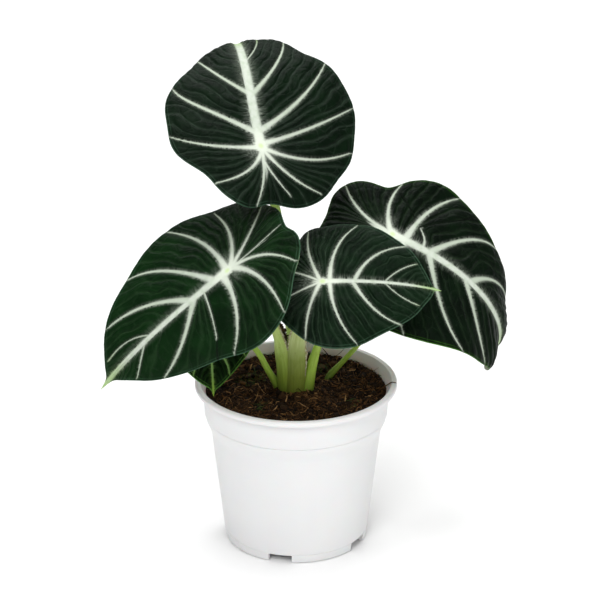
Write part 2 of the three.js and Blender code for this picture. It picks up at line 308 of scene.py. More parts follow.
# The flat outline and the bends are those of the solid blades.  "veins" lists
# the main side veins: place on the midrib, angle that the vein leaves at,
# bearing on the margin where it ends, how far its curve is held out, width,
# and how far towards the margin it reaches.
BLADES = {
    "leaf_top": dict(
        at=(-20, 5, 244), heading=108, pitch=45, roll=13.5,
        length=142, heel=41, left=51, right=66, point=0.46, full=1.0,
        tip=10, tip_width=0.17, notch=5.5,
        bend_front=1.05, late=1.67, bend_back=0.35,
        droop_left=0.42, droop_right=0.15, fold=0.01, twist=-0.22, sway=-0.22,
        lobes=((-136, -0.05), (-92, 0.05), (-54, -0.06), (-27, 0.05), (38, 0.06),
               (62, -0.03), (84, 0.05), (113, 0.05), (134, -0.1)),
        midrib=(2.9, 2.6, 1.9), seed=3,
        tints=((0.0009, 0.0046, 0.0015), (0.0020, 0.0092, 0.0027), (0.034, 0.052, 0.036)),
        edge=(0.035, 0.075, 0.045), greener=0.2,
        veins=(
            (35, 54, 46, 0.52, 1.05, 1), (8, 61, 75, 0.78, 1.25, 1), (-1, 92, 105, 0.62, 1.0, 1),
            (-3, 152, 141, 0.5, 0.85, 0.97), (-3, 178, 171, 0.5, 0.9, 0.97),
            (34, -46, -40, 0.64, 1.1, 1), (9, -61, -67, 0.61, 1.35, 1), (1, -76, -93, 0.5, 1.2, 1),
            (-1, -115, -117, 0.52, 1.0, 0.98), (-1, -150, -150, 0.5, 1.0, 0.93),
            (-10, -160, -167, 0.4, 0.45, 0.8), (62, -42, -22, 0.5, 0.3, 0.97),
        ),
    ),
    "leaf_left": dict(
        at=(-38.5, -35, 183.2), heading=190, pitch=-39, roll=-20.5,
        length=145, heel=46.5, left=50.5, right=58.5, point=1.03, full=1.0,
        tip=8.5, tip_width=0.15, notch=5,
        bend_front=0.38, late=1.6, bend_back=0.28,
        droop_left=0.87, droop_right=0.34, fold=0.11, twist=-0.56, sway=-0.09,
        lobes=((-150, 0.03), (-130, 0.05), (-114, -0.06), (-45, 0.02), (50, 0.03),
               (82, -0.06), (145, -0.06), (165, 0.02)),
        midrib=(2.6, 1.6, 0.6), seed=5,
        tints=((0.0012, 0.0075, 0.0016), (0.0030, 0.0180, 0.0034), (0.022, 0.052, 0.020)),
        edge=(0.040, 0.090, 0.052), greener=1.0,
        veins=(
            (0, -93, -96, 0.56, 1.35, 1), (9, -60, -70, 0.74, 1.25, 1), (27, -46, -47, 0.56, 1.25, 1),
            (-2, -131, -121, 0.46, 1.2, 0.93), (-2, -157, -151, 0.5, 1.0, 0.95),
            (-6, 176, -176, 0.4, 0.25, 0.92), (-2, 172, 152, 0.49, 1.15, 0.97),
            (-3, 128, 124, 0.57, 1.3, 0.98), (4, 97, 89, 0.6, 1.45, 0.98),
            (18, 86, 80, 0.5, 0.32, 0.76), (25, 52, 54, 0.53, 1.3, 1), (64, 44, 38, 0.5, 0.3, 0.98),
            (58, -44, -27, 0.5, 0.2, 0.97),
        ),
    ),
    "leaf_middle": dict(
        at=(15.3, -25, 172.6), heading=-2, pitch=3, roll=29,
        length=91.5, heel=28.5, left=46.5, right=45, point=0.77, full=0.91,
        tip=5, tip_width=0.12, notch=6,
        bend_front=0.18, late=1.45, bend_back=0.55,
        droop_left=0.5, droop_right=0.46, fold=0.13, twist=0.39, sway=-0.07,
        lobes=((-137, -0.03), (-72, -0.02), (-42, 0.035), (-20, 0.03), (45, 0.02),
               (110, -0.04), (130, 0.03)),
        midrib=(1.6, 1.0, 0.45), seed=7,
        tints=((0.0010, 0.0052, 0.0017), (0.0024, 0.0115, 0.0034), (0.028, 0.050, 0.029)),
        edge=(0.040, 0.085, 0.050), greener=0.5,
        veins=(
            (4, 88, 86, 0.62, 0.85, 0.98), (-1, 114, 125, 0.56, 0.75, 0.97), (18, 68, 50, 0.6, 0.75, 1),
            (-1, 150, 168, 0.5, 0.5, 0.96), (35, 50, 34, 0.55, 0.16, 0.95),
            (4, -88, -87, 0.64, 0.8, 0.98), (-1, -112, -127, 0.55, 0.8, 0.97),
            (17, -66, -54, 0.67, 0.75, 1), (-1, -150, -167, 0.5, 0.6, 0.96),
            (35, -50, -33, 0.55, 0.14, 0.95),
        ),
    ),
    "leaf_right": dict(
        at=(56.7, 20, 184.4), heading=-10.6, pitch=-23, roll=28.7,
        length=156, heel=46.3, left=51, right=58, point=0.6, full=1.07,
        tip=12, tip_width=0.13, notch=3.1,
        bend_front=1.36, late=1.87, curl=0.42, bend_back=0.81,
        droop_left=0.06, droop_right=0.31, fold=-0.03, twist=-0.07, sway=-0.09,
        lobes=((-45, 0.05), (-25, 0.1), (30, 0.03), (52, 0.04), (98, 0.06),
               (130, -0.22), (152, 0.03)),
        midrib=(2.5, 2.0, 0.9), seed=11,
        tints=((0.0006, 0.0026, 0.0009), (0.0015, 0.0068, 0.0018), (0.018, 0.034, 0.016)),
        edge=(0.045, 0.150, 0.012), greener=0.4,
        veins=(
            (-2, 176, 154, 0.5, 1.15, 0.98), (-1, 124, 121, 0.55, 1.2, 0.99), (8, 85, 93, 0.6, 1.4, 1),
            (24, 60, 66, 0.77, 1.3, 1), (54, 59, 45, 0.6, 1.2, 1), (19, 75, 80, 0.5, 0.5, 0.3),
            (24, -61, -61, 0.73, 1.25, 1), (50, -50, -43, 0.7, 1.2, 1),
            (8, -86, -90, 0.6, 1.2, 1), (-1, -118, -122, 0.55, 1.1, 0.98), (-2, -164, -154, 0.5, 1.0, 0.97),
        ),
    ),
    "leaf_small": dict(
        at=(-51.3, 6.2, 147), heading=-84, pitch=-56, roll=2,
        length=74, heel=21, left=28, right=29, point=0.62, full=1.0,
        tip=4, tip_width=0.13, notch=3,
        bend_front=-0.1, late=1.5, bend_back=0.2,
        droop_left=0.3, droop_right=0.5, fold=0.1, twist=0.0, sway=0.0,
        lobes=((-60, 0.02), (70, 0.03)),
        midrib=(0.9, 0.6, 0.35), seed=13, young=True,
        veins=(
            (1, 92, 92, 0.58, 0.8, 0.98), (11, 64, 62, 0.62, 0.8, 0.98), (26, 52, 38, 0.6, 0.7, 0.98),
            (-1, 126, 124, 0.5, 0.7, 0.97), (-1, 160, 157, 0.5, 0.6, 0.96),
            (1, -92, -94, 0.58, 0.8, 0.98), (12, -64, -64, 0.62, 0.8, 0.98), (27, -52, -40, 0.6, 0.7, 0.98),
            (-1, -126, -126, 0.5, 0.7, 0.97), (-1, -160, -157, 0.5, 0.6, 0.96),
        ),
    ),
    "leaf_offset": dict(
        at=(52, 32, 134), heading=6, pitch=-8, roll=8,
        length=60, heel=17, left=20, right=20, point=0.9, full=1.0,
        tip=5, tip_width=0.15, notch=3,
        bend_front=0.5, late=1.5, bend_back=0.2,
        droop_left=0.3, droop_right=0.3, fold=0.12, twist=0.0, sway=0.0,
        lobes=((-60, 0.03), (80, 0.02)),
        midrib=(0.7, 0.45, 0.25), seed=17, young=True,
        veins=(
            (1, 92, 92, 0.58, 0.6, 0.98), (9, 64, 62, 0.62, 0.6, 0.98), (21, 52, 38, 0.6, 0.5, 0.98),
            (-1, 126, 124, 0.5, 0.5, 0.97), (-1, 160, 157, 0.5, 0.5, 0.96),
            (1, -92, -94, 0.58, 0.6, 0.98), (9, -64, -64, 0.62, 0.6, 0.98), (22, -52, -40, 0.6, 0.5, 0.98),
            (-1, -126, -126, 0.5, 0.5, 0.97), (-1, -160, -157, 0.5, 0.5, 0.96),
        ),
    ),
}

NOTCH_WIDTH, LOBE_WIDTH = 0.2, 0.22
BLADE_THICKNESS = 0.6
VEIN_STEPS = 40
CREASE_SPACING = 7.0  # degrees of bearing from one faint crease to the next


def outline(theta, b):
    """Flat margin (s along the midrib, w across) at each bearing."""
    theta = np.asarray(theta, float)
    phi = np.clip(np.abs(theta), 1e-9, pi - 1e-9)
    half = b["length"] / 2

    def shape(t):
        return np.sin(t) ** b["full"] * np.sin(t / 2) ** b["point"]

    widest = shape(np.linspace(0.01, 3.13, 900)).max()
    width = np.where(theta >= 0, b["left"], b["right"]) * shape(phi) / widest
    s = half - b["heel"] + half * np.cos(phi)
    s = s + b["tip"] * np.exp(-((phi / b["tip_width"]) ** 2))
    s = s + b["notch"] * np.exp(-(((pi - phi) / NOTCH_WIDTH) ** 2))
    swell = 1.0
    for bearing, amount in b["lobes"]:
        away = (theta - radians(bearing) + pi) % (2 * pi) - pi
        swell = swell + amount * np.exp(-((away / LOBE_WIDTH) ** 2))
    return s * swell, np.sign(theta) * width * swell


def blade_surface(s, w, b):
    """The blade's middle surface: flat places bent into the leaf's own frame."""
    ahead = b["length"] - b["heel"]

    def turn(u):
        return (-b["bend_front"] * (np.maximum(u, 0) / ahead) ** b["late"]
                - b.get("curl", 0) * (np.maximum(u, 0) / ahead) ** 8
                + b["bend_back"] * (np.maximum(-u, 0) / b["heel"]) ** 1.5)

    x = np.zeros_like(s)
    z = np.zeros_like(s)
    steps = 24
    for i in range(steps):
        t = turn(s * (i + 0.5) / steps)
        x += s / steps * np.cos(t)
        z += s / steps * np.sin(t)
    t = turn(s)
    side = np.where(w >= 0, 1.0, -1.0)
    half_width = np.where(w >= 0, b["left"], b["right"])
    c = np.where(w >= 0, b["droop_left"], b["droop_right"])
    u = np.abs(w) / half_width
    y2 = side * half_width / c * (np.sin(c * u - b["fold"]) + sin(b["fold"]))
    z2 = half_width / c * (np.cos(c * u - b["fold"]) - cos(b["fold"]))
    twist = b["twist"] * s / ahead
    y3 = y2 * np.cos(twist) - z2 * np.sin(twist)
    z3 = y2 * np.sin(twist) + z2 * np.cos(twist)
    y3 = y3 + b["sway"] * np.maximum(s, 0) ** 2 / ahead
    return np.stack([x - np.sin(t) * z3, y3, z + np.cos(t) * z3], -1)


def blade_normal(s, w, b):
    d = 0.4
    along = blade_surface(s + d, w, b) - blade_surface(s - d, w, b)
    across = blade_surface(s, w + d, b) - blade_surface(s, w - d, b)
    n = np.cross(along, across)
    return unit(n)


def place_of(b):
    turn = Euler((radians(b["roll"]), -radians(b["pitch"]), radians(b["heading"])), "XYZ")
    return np.array(turn.to_matrix()), np.array(b["at"], float)


def bezier(p0, p1, p2, count):
    t = np.linspace(0, 1, count)[:, None]
    return (1 - t) ** 2 * p0 + 2 * t * (1 - t) * p1 + t**2 * p2


def side_vein(start, leaves, ends, held, reach, b):
    p0 = np.array([start, 0.0])
    p2 = reach * 0.985 * np.array(outline(radians(ends), b))
    span = np.linalg.norm(p2 - p0)
    p1 = p0 + held * span * np.array(polar(1, leaves))
    return bezier(p0, p1, p2, VEIN_STEPS), span


def main_veins(b):
    """The midrib and the side veins: (points, half widths, fringe widths)."""
    broad, narrow, fine = b["midrib"]
    t = np.linspace(0, 1, 60)
    tip, _ = outline(0.0, b)
    midrib = np.stack([t * (tip - 0.5), np.zeros_like(t)], 1)
    half = narrow * (1 - t**2) + fine * t**2 + (broad - narrow) * np.exp(-((t / 0.2) ** 2))
    curves = [(midrib, half, 0.4 + 0.6 * half)]
    t = np.linspace(0, 1, VEIN_STEPS)
    for start, leaves, ends, held, width, reach in b["veins"]:
        points, span = side_vein(start, leaves, ends, held, reach, b)
        half = 0.13 + (width - 0.13) * ((1 - t) ** 0.8 * 0.88 + 0.6 * np.exp(-((t * span / 8.0) ** 2)))
        curves.append((points, half, 0.3 + 0.9 * half))
    return curves


def lie_of_the_land(flat, b):
    """Sector: a smooth count of the side veins passed, whole on each vein.
    Gap: the distance between the two veins on either side.  Order: a smooth
    count of the faint creases between them, pitch their spacing."""
    ahead = b["length"] - b["heel"]
    sectors = np.zeros(len(flat))
    gap_between = np.full(len(flat), 10.0)
    order = np.zeros(len(flat))
    pitch = np.full(len(flat), 10.0)
    for side in (1, -1):
        mains = sorted((v for v in b["veins"] if v[2] * side > 0), key=lambda v: abs(v[2]))
        tip_border = (0.93 * ahead, side * 22.0, side * 2.0, 0.5, 0, 1.0)
        notch_border = (-1.0, side * 180.0, side * 179.9, 0.5, 0, 1.0)
        borders = [tip_border, *mains, notch_border]
        on_side = np.flatnonzero(flat[:, 1] * side >= 0)
        here = flat[on_side]
        behind = np.zeros((len(borders), len(here)), bool)
        away = np.zeros((len(borders), len(here)))
        for i, (start, leaves, ends, held, _, reach) in enumerate(borders):
            points, _ = side_vein(start, leaves, ends, held, reach, b)
            beyond = 1.2 * np.array(outline(radians(ends), b))
            points = np.vstack([points, beyond])
            best = np.full(len(here), 1e9)
            for a, c in zip(points[:-1], points[1:]):
                d = c - a
                rel = here - a
                t = np.clip(rel @ d / (d @ d), 0, 1)
                off = rel - t[:, None] * d
                dist = np.hypot(off[:, 0], off[:, 1])
                nearer = dist < best
                best = np.where(nearer, dist, best)
                behind[i] = np.where(nearer, side * (d[0] * rel[:, 1] - d[1] * rel[:, 0]) > 0, behind[i])
            away[i] = best
        sector = np.zeros(len(here), int)
        for i in range(1, len(borders) - 1):
            sector = np.where(behind[i] & (sector == i - 1), i, sector)
        rows = np.arange(len(here))
        near, far = away[sector, rows], away[sector + 1, rows]
        spans = [abs(c[2] - a[2]) for a, c in zip(borders[:-1], borders[1:])]
        count = np.array([max(1, round(span / CREASE_SPACING)) for span in spans])[sector]
        share = near / np.maximum(near + far, 1e-6)
        sectors[on_side] = sector + share
        gap_between[on_side] = near + far
        order[on_side] = sector * 20 + side * 400 + share * count
        pitch[on_side] = (near + far) / count
    return sectors, gap_between, order, pitch


def distance_to(points, curve, near=1e3):
    """Distance to a polyline, and the nearest place along it (0 to 1)."""
    if near < 1e3:
        low, high = curve.min(0) - near, curve.max(0) + near
        close = np.flatnonzero(((points >= low) & (points <= high)).all(1))
        best, where = np.full(len(points), 1e3), np.zeros(len(points))
        if len(close):
            best[close], where[close] = distance_to(points[close], curve)
        return best, where
    best = np.full(len(points), 1e9)
    where = np.zeros(len(points))
    count = len(curve) - 1
    for i in range(count):
        a, d = curve[i], curve[i + 1] - curve[i]
        rel = points - a
        t = np.clip(rel @ d / max(d @ d, 1e-9), 0, 1)
        gap = rel - t[:, None] * d
        dist = gap[:, 0] ** 2 + gap[:, 1] ** 2
        nearer = dist < best
        best = np.where(nearer, dist, best)
        where = np.where(nearer, (i + t) / count, where)
    return np.sqrt(best), where


def ripple(theta, rng):
    """A gentle waviness of the margin, as a height in millimetres."""
    total = np.zeros_like(theta)
    for k, size in ((5, 0.9), (8, 0.7), (13, 0.35)):
        total += size * np.sin(k * theta + rng.uniform(0, 2 * pi))
    return total


def wander(flat, size, rng):
    """Slow seeded waviness over the blade, from about -1 to 1."""
    total = np.zeros(len(flat))
    for _ in range(5):
        bearing, wave = rng.uniform(0, 2 * pi), rng.uniform(0.6, 1.7) * 2 * pi / size
        total += np.sin(flat @ np.array([cos(bearing), sin(bearing)]) * wave + rng.uniform(0, 2 * pi)) / 2.6
    return total


def blade_fields(s, w, theta, share, b):
    """Everything the shape and the material read at each flat place."""
    rng = np.random.default_rng(b["seed"])
    flat = np.stack([s, w], 1)
    vein = np.full(len(s), 1e3)
    side_gap = np.full(len(s), 1e3)
    along = np.zeros(len(s))
    half = np.full(len(s), 0.1)
    fringe = np.full(len(s), 0.1)
    for i, (points, halves, fringes) in enumerate(main_veins(b)):
        dist, where = distance_to(flat, points, 22.0)
        places = np.linspace(0, 1, len(points))
        if i == 0:
            spine = np.interp(where, places, halves)
            vein = dist - spine
            continue
        length = np.linalg.norm(np.diff(points, axis=0), axis=1).sum()
        edge = dist - np.interp(where, places, halves)
        nearer = edge < side_gap
        side_gap = np.where(nearer, edge, side_gap)
        along = np.where(nearer, where * length + 37.0 * i, along)
        half = np.where(nearer, np.interp(where, places, halves), half)
        fringe = np.where(nearer, np.interp(where, places, fringes), fringe)
    vein = np.minimum(vein, side_gap)
    scale = min(1.0, b["length"] / 120)
    sector, gap, order, pitch = lie_of_the_land(flat, b)
    drift = 0.24 * wander(flat, 28 * scale, rng) + 0.04 * wander(flat, 10 * scale, rng)
    order = order + drift * np.clip(vein / 5, 0, 1)
    strength = np.clip(0.62 + 0.5 * wander(flat, 30 * scale, rng), 0.12, 1)
    fold = np.abs((order + 0.5) % 1 - 0.5) * pitch
    margin_s, margin_w = outline(theta, b)
    reach = np.hypot(margin_s, margin_w)
    rim = (1 - share) * reach
    inner = np.clip(vein / (2.5 * scale), 0, 1)
    quilt = 1.2 * scale * (1 - np.exp(-((np.maximum(vein, 0) / (6.0 * scale)) ** 1.6)))
    quilt += 0.75 * scale * strength * (1 - np.exp(-((fold / (1.5 * scale)) ** 2))) * inner
    quilt += 0.16 * scale * wander(flat, 7 * scale, rng) * inner
    quilt *= 0.3 + 0.7 * np.clip(rim / (6 * scale), 0, 1)
    wave = ripple(theta, rng) * scale * np.clip(share, 0, 1) ** 4
    return dict(vein=vein, side_gap=side_gap, along=along, half=half, fringe=fringe, spine=spine,
                sector=sector, gap=gap, order=order, pitch=pitch, strength=strength, rim=rim, fold=fold,
                lift=quilt + wave)


def make_blade(name, b, materials):
    big = b["length"] > 80
    spokes = 400 if big else 240
    rings = 104 if big else 56
    low_rings = 26
    u = np.linspace(-1, 1, spokes, endpoint=False)
    theta = pi * u - 0.12 * np.sin(2 * pi * u)
    margin_s, margin_w = outline(theta, b)

    def sheet(shares):
        s = np.concatenate([[0.0], np.outer(shares, margin_s).ravel()])
        w = np.concatenate([[1e-6], np.outer(shares, margin_w).ravel()])
        angle = np.concatenate([[0.0], np.tile(theta, len(shares))])
        return s, w, angle, np.concatenate([[0.0], np.repeat(shares, spokes)])

    turn, at = place_of(b)
    points, flats, maps, fields = [], [], [], []
    for count, spread, sign in ((rings, 0.92, 1), (low_rings, 0.9, -1)):
        s, w, angle, share = sheet(np.linspace(0, 1, count + 1)[1:] ** spread)
        field = blade_fields(s, w, angle, share, b)
        normal = blade_normal(s, w, b)
        half = BLADE_THICKNESS / 2 * np.sqrt(np.clip(1 - share**40, 0.02, 1))
        lift = field["lift"] * (1.0 if sign > 0 else 0.9)
        # Underneath, the veins stand out.
        rib = 0
        if sign < 0:
            by_vein = np.exp(-((np.maximum(field["vein"], 0) / 0.8) ** 2))
            rib = -1.1 * by_vein * np.clip(field["rim"] / 6, 0, 1)
        place = blade_surface(s, w, b) + normal * (lift + sign * half + rib)[:, None]
        points.append(place @ turn.T + at)
        flats.append(np.stack([s, w, np.zeros_like(s)], 1))
        fields.append(field)
        size = b["length"] * 1.15
        offset = 0 if sign > 0 else 0.5
        maps.append(np.stack([(s + b["heel"] + 4) / size * 0.5 + offset, (w + 80) / 160], 1))
    low = len(points[0])
    upper = fan(0, 1, spokes) + turned(lattice(rings, spokes, 1))
    lower = fan(low, low + 1, spokes) + turned(lattice(low_rings, spokes, low + 1))
    margin, low_margin = 1 + (rings - 1) * spokes, low + 1 + (low_rings - 1) * spokes
    seam = []
    for k in range(spokes):
        j = (k + 1) % spokes
        seam.append((margin + k, low_margin + k, low_margin + j, margin + j))
    faces = upper + seam + [f[::-1] for f in lower]
    kinds = [0] * len(upper + seam) + [1] * len(lower)
    piece = make_object(name, np.concatenate(points), faces, materials, face_materials=kinds)
    add_attribute(piece, "flat", np.concatenate(flats))
    for key in ("vein", "side_gap", "along", "half", "fringe", "spine", "sector", "gap", "order", "pitch",
                "strength", "rim", "fold"):
        add_attribute(piece, key, np.clip(np.concatenate([f[key] for f in fields]), -2000, 2000))
    add_map(piece, np.concatenate(maps))
    return piece


def blade_material(name, dark, mid, line_tint, vein_tint, vein_green, edge_tint, tip_tint, ahead, greener):
    n = Nodes(name, Sheen_Weight=0.015, Sheen_Roughness=0.3, Specular_IOR_Level=0.045)
    n.shader.inputs["Sheen Tint"].default_value = (0.75, 0.85, 0.78, 1)
    flat = n.attribute("flat", "Vector")
    split = n.node("SeparateXYZ", {"Vector": flat})
    along_rib, across = split.outputs["X"], split.outputs["Y"]
    distance = n.length(flat)
    vein, rim = n.attribute("vein"), n.attribute("rim")
    order, pitch, strength = (n.attribute(key) for key in ("order", "pitch", "strength"))

    def combed(run, off, edge, fringe):
        """Silver out to a vein's edge, then hair-fine tufts beyond it."""
        comb = n.noise(n.vector(n.times(run, 2.1), n.times(off, 0.16), 1.0), 1.0, 3.0, 0.65)
        tufts = n.noise(n.vector(n.times(run, 0.4), 7.3, 2.0), 1.0, 1.0)
        hair = n.times(n.step(comb, 0.36, 0.62), n.line(tufts, 2.6, 0.7))
        hair = n.line(hair, fringe, 0.16)
        solid = n.fade(n.over(edge, hair), -0.5, 1.0)
        dust = n.times(n.step(n.over(edge, n.line(fringe, 3.5, 0.2)), 0.0, 1.0, 0.22, 0.0),
                       n.step(comb, 0.35, 0.7))
        return n.most(solid, dust)

    # The midrib, then the side veins, then the silvery patch they meet in.
    spine = n.attribute("spine")
    off_rib = n.length(n.vector(n.least(along_rib, 0.0), across))
    rib = combed(along_rib, n.plus(across, 40.0), n.minus(off_rib, spine), n.line(spine, 0.6, 0.4))
    sector, gap = n.attribute("sector"), n.attribute("gap")
    off = n.times(n.off_whole(sector), gap)
    side_edge = n.least(n.minus(off, n.attribute("half")), n.attribute("side_gap"))
    side = combed(n.attribute("along"), n.times(sector, 30.0), side_edge, n.attribute("fringe"))
    side = n.times(side, n.fade(n.attribute("side_gap"), 0.9, 2.4))
    burst = n.noise(flat, 0.9, 3.0, 0.6)
    heart = n.fade(n.line(burst, -2.4, n.over(distance, n.most(spine, 0.5))), -0.1, 1.1)
    haze = n.times(n.step(distance, 2.0, 17.0, 0.42, 0.0), n.step(along_rib, 1.0, -4.0))
    haze = n.times(haze, n.step(burst, 0.3, 0.7))
    inked = n.most(n.most(rib, n.times(side, 0.93)), n.most(heart, haze))
    silver = n.mix(n.step(n.noise(flat, 0.3, 2.0), 0.4, 0.7), vein_tint, vein_green)
    silver = n.mix(n.times(n.fade(rib, 0.3, 0.9), n.step(distance, 8.0, 45.0, 0.1, 0.85)), silver,
                   vein_green)
    bud = n.times(n.fade(distance, 0.5, 2.4), 0.6)
    silver = n.mix(n.step(distance, 4.0, 16.0, 0.9, 0.0), silver, (0.69, 0.745, 0.635))
    silver = n.mix(bud, silver, (0.55, 0.72, 0.26))
    silver = n.mix(n.times(n.step(along_rib, ahead * 0.75, ahead), 0.8), silver, tip_tint)

    # The blade between them, in shallow folds with pale creases.
    slip = n.times(n.minus(n.noise(flat, 0.5, 2.0), 0.5), 0.05)
    fold = n.times(n.off_whole(n.plus(order, slip)), pitch)
    patchy = n.step(n.noise(flat, 0.14, 3.0), 0.36, 0.6)
    crease = n.times(n.fade(fold, 0.03, 0.36), n.times(patchy, strength))
    grid = n.vector(n.times(order, 1.1), n.times(distance, 0.10), 3.0)
    net = n.cell_edges(grid, 1.0)
    web = n.times(n.fade(net, 0.0, 0.045), n.times(patchy, 0.3))
    lines = n.times(n.most(crease, web), n.step(vein, 0.2, 1.5))
    cloud = n.noise(flat, 0.06, 3.0, 0.55)
    grain = n.noise(flat, 1.3, 4.0, 0.7)
    body = n.mix(n.step(cloud, 0.35, 0.68), dark, mid)
    body = n.mix(n.times(n.step(along_rib, -10.0, ahead, 0.0, 0.7), greener), body, mid)
    body = n.mix(n.step(grain, 0.5, 0.8, 0.0, 0.1), body, line_tint)
    body = n.mix(n.times(lines, 0.6), body, line_tint)
    body = n.mix(n.step(fold, 0.2, 1.5, 0.2, 0.0), body, line_tint)
    # A pale line just inside the margin, and a greener rim.
    body = n.mix(n.step(rim, 0.3, 0.9, 0.85, 0.0), body, edge_tint)
    collector = n.times(n.fade(n.math("ABSOLUTE", n.minus(rim, 1.9)), 0.05, 0.3),
                        n.step(cloud, 0.3, 0.65, 0.15, 0.6))
    body = n.mix(collector, body, edge_tint)
    colour = n.mix(inked, body, silver)
    point = n.step(along_rib, ahead - 1.0, ahead + 4.0)
    colour = n.mix(n.times(point, 0.85), colour, tip_tint)
    withered = n.step(along_rib, ahead + 6.5, ahead + 9.5)
    colour = n.mix(n.times(withered, 0.8), colour, (0.20, 0.10, 0.03))

    # Fine relief: folds, wrinkles along them, velvet grain, raised silver.
    wrinkle = n.noise(n.vector(n.times(order, 1.8), n.times(distance, 0.07)), 1.0, 2.0, 0.5)
    height = n.times(n.step(fold, 0.0, 1.6), n.line(strength, 1.1, 0.4))
    height = n.line(wrinkle, 1.5, height)
    height = n.line(n.step(net, 0.0, 0.12), 0.35, height)
    height = n.times(height, n.step(vein, 0.0, 1.6))
    height = n.line(grain, 0.3, height)
    height = n.line(inked, 0.5, height)
    rough = n.line(grain, 0.16, 0.40)
    return n.surface(Base_Color=colour, Roughness=rough, Normal=n.bump(height, 0.9, 0.00055))


def underside_material():
    n = Nodes("blade_underside", Sheen_Weight=0.1, Specular_IOR_Level=0.35)
    flat = n.attribute("flat", "Vector")
    vein, crease = n.attribute("vein"), n.attribute("fold")
    cloud = n.noise(flat, 0.08, 3.0)
    base = n.mix(n.step(cloud, 0.35, 0.7), (0.155, 0.215, 0.125), (0.215, 0.27, 0.16))
    flush = n.times(n.step(vein, 0.5, 7.0), 0.45)
    base = n.mix(flush, base, (0.15, 0.105, 0.10))
    net = n.cell_edges(flat, 0.55)
    base = n.mix(n.times(n.fade(net, 0.0, 0.09), 0.35), base, (0.30, 0.36, 0.21))
    base = n.mix(n.times(n.fade(crease, 0.1, 0.7), 0.5), base, (0.33, 0.40, 0.24))
    base = n.mix(n.fade(vein, -0.3, 0.5), base, (0.46, 0.55, 0.33))
    base = n.mix(n.times(n.fade(n.attribute("rim"), 0.4, 1.4), 0.7), base, (0.24, 0.34, 0.16))
    height = n.plus(n.times(n.step(net, 0.0, 0.12), -0.5), n.times(n.fade(crease, 0.0, 0.9), 0.8))
    rough = n.plus(n.times(cloud, 0.15), 0.45)
    return n.surface(Base_Color=base, Roughness=rough, Normal=n.bump(height, 0.4, 0.0004))


underside = underside_material()
for name, b in BLADES.items():
    young = b.get("young", False)
    ahead = b["length"] - b["heel"]
    if young:
        upper = blade_material(name + "_face", (0.0009, 0.0042, 0.0006), (0.0022, 0.0100, 0.0016),
                               (0.022, 0.062, 0.014), (0.30, 0.50, 0.16), (0.25, 0.45, 0.13),
                               (0.10, 0.27, 0.04), (0.30, 0.50, 0.06), ahead, 1.0)
    else:
        upper = blade_material(name + "_face", *b["tints"], (0.56, 0.61, 0.53), (0.47, 0.54, 0.43),
                               b["edge"], (0.34, 0.50, 0.20), ahead, b["greener"])
    piece = make_blade(name + "_blade", b, [upper, underside])
    adopt(piece, "young_leaf_blade" if young else "leaf_blade", name)

# ----------------------------------------------------------------- petioles

# Points from the rhizome to the blade, each with half width and half depth,
# as the solid petioles have them; "end" is the radius at the blade.
STALKS = {
    "petiole_top": dict(blade="leaf_top", end=2.3, reach=16, points=(
        (1, 4.5, 80, 4.2, 4.2), (0.6, 4.9, 96, 4.2, 4.2), (-2.4, 7.5, 125, 3.3, 3.2),
        (-7.6, 13, 168, 2.8, 2.8), (-13, 17, 206, 2.7, 2.7))),
    "petiole_right": dict(blade="leaf_right", end=2.0, reach=14, points=(
        (5.4, -2.4, 80, 4.2, 4), (6.6, -2.8, 96, 4.1, 4), (9.5, -1, 110, 3.1, 3.1),
        (13.3, 1.6, 122, 2.3, 2.3), (27.5, 13.5, 152, 2.2, 2.2))),
    "petiole_left": dict(blade="leaf_left", end=2.3, reach=16, points=(
        (-5.2, -1.6, 80, 4.4, 4.4), (-6.4, -2.2, 96, 4.3, 4.3), (-8, -3.8, 112, 3.5, 3.5),
        (-9.9, -6, 128, 3, 3), (-18, -14, 153, 2.6, 2.6))),
    "petiole_middle": dict(blade="leaf_middle", end=2.2, reach=12, points=(
        (-0.6, -3.2, 80, 6.4, 5), (-0.4, -3.6, 96, 6.4, 5), (0.1, -4.6, 112, 6.3, 4),
        (0.6, -6.2, 128, 5.4, 3.2), (4.5, -11, 146, 2.9, 2.5))),
    "petiole_small": dict(blade="leaf_small", end=1.4, reach=8, points=(
        (-8.6, -0.6, 84, 2.5, 2.5), (-10.9, -1, 95.5, 2.4, 2.4), (-16.6, -1.6, 107, 1.9, 1.9),
        (-23, -0.5, 118.6, 1.7, 1.7), (-36.5, 5, 131, 1.6, 1.6))),
    "petiole_offset": dict(blade="leaf_offset", end=1.2, reach=8, points=(
        (14.5, 12, 84, 2.3, 2.3), (20.2, 15, 95.5, 2.1, 2.1), (27.5, 16.6, 103.5, 1.6, 1.6),
        (35, 18.5, 111.6, 1.5, 1.5))),
}


def blend(t, low, high, a, b):
    return (high - t) / (high - low) * a + (t - low) / (high - low) * b


def spline(points, count):
    """A centripetal Catmull-Rom curve through points, with what rides on them."""
    p = np.asarray(points, float)
    full = np.vstack([2 * p[0] - p[1], p, 2 * p[-1] - p[-2]])
    knots = np.zeros(len(full))
    for i in range(1, len(full)):
        knots[i] = knots[i - 1] + np.linalg.norm(full[i, :3] - full[i - 1, :3]) ** 0.5
    out = []
    for g in np.linspace(0, len(p) - 1, count):
        i = min(int(g), len(p) - 2)
        q, k = full[i : i + 4], knots[i : i + 4]
        t = k[1] + (g - i) * (k[2] - k[1])
        a = [blend(t, k[j], k[j + 1], q[j], q[j + 1]) for j in range(3)]
        b = [blend(t, k[j], k[j + 2], a[j], a[j + 1]) for j in range(2)]
        out.append(blend(t, k[1], k[2], *b))
    return np.array(out)


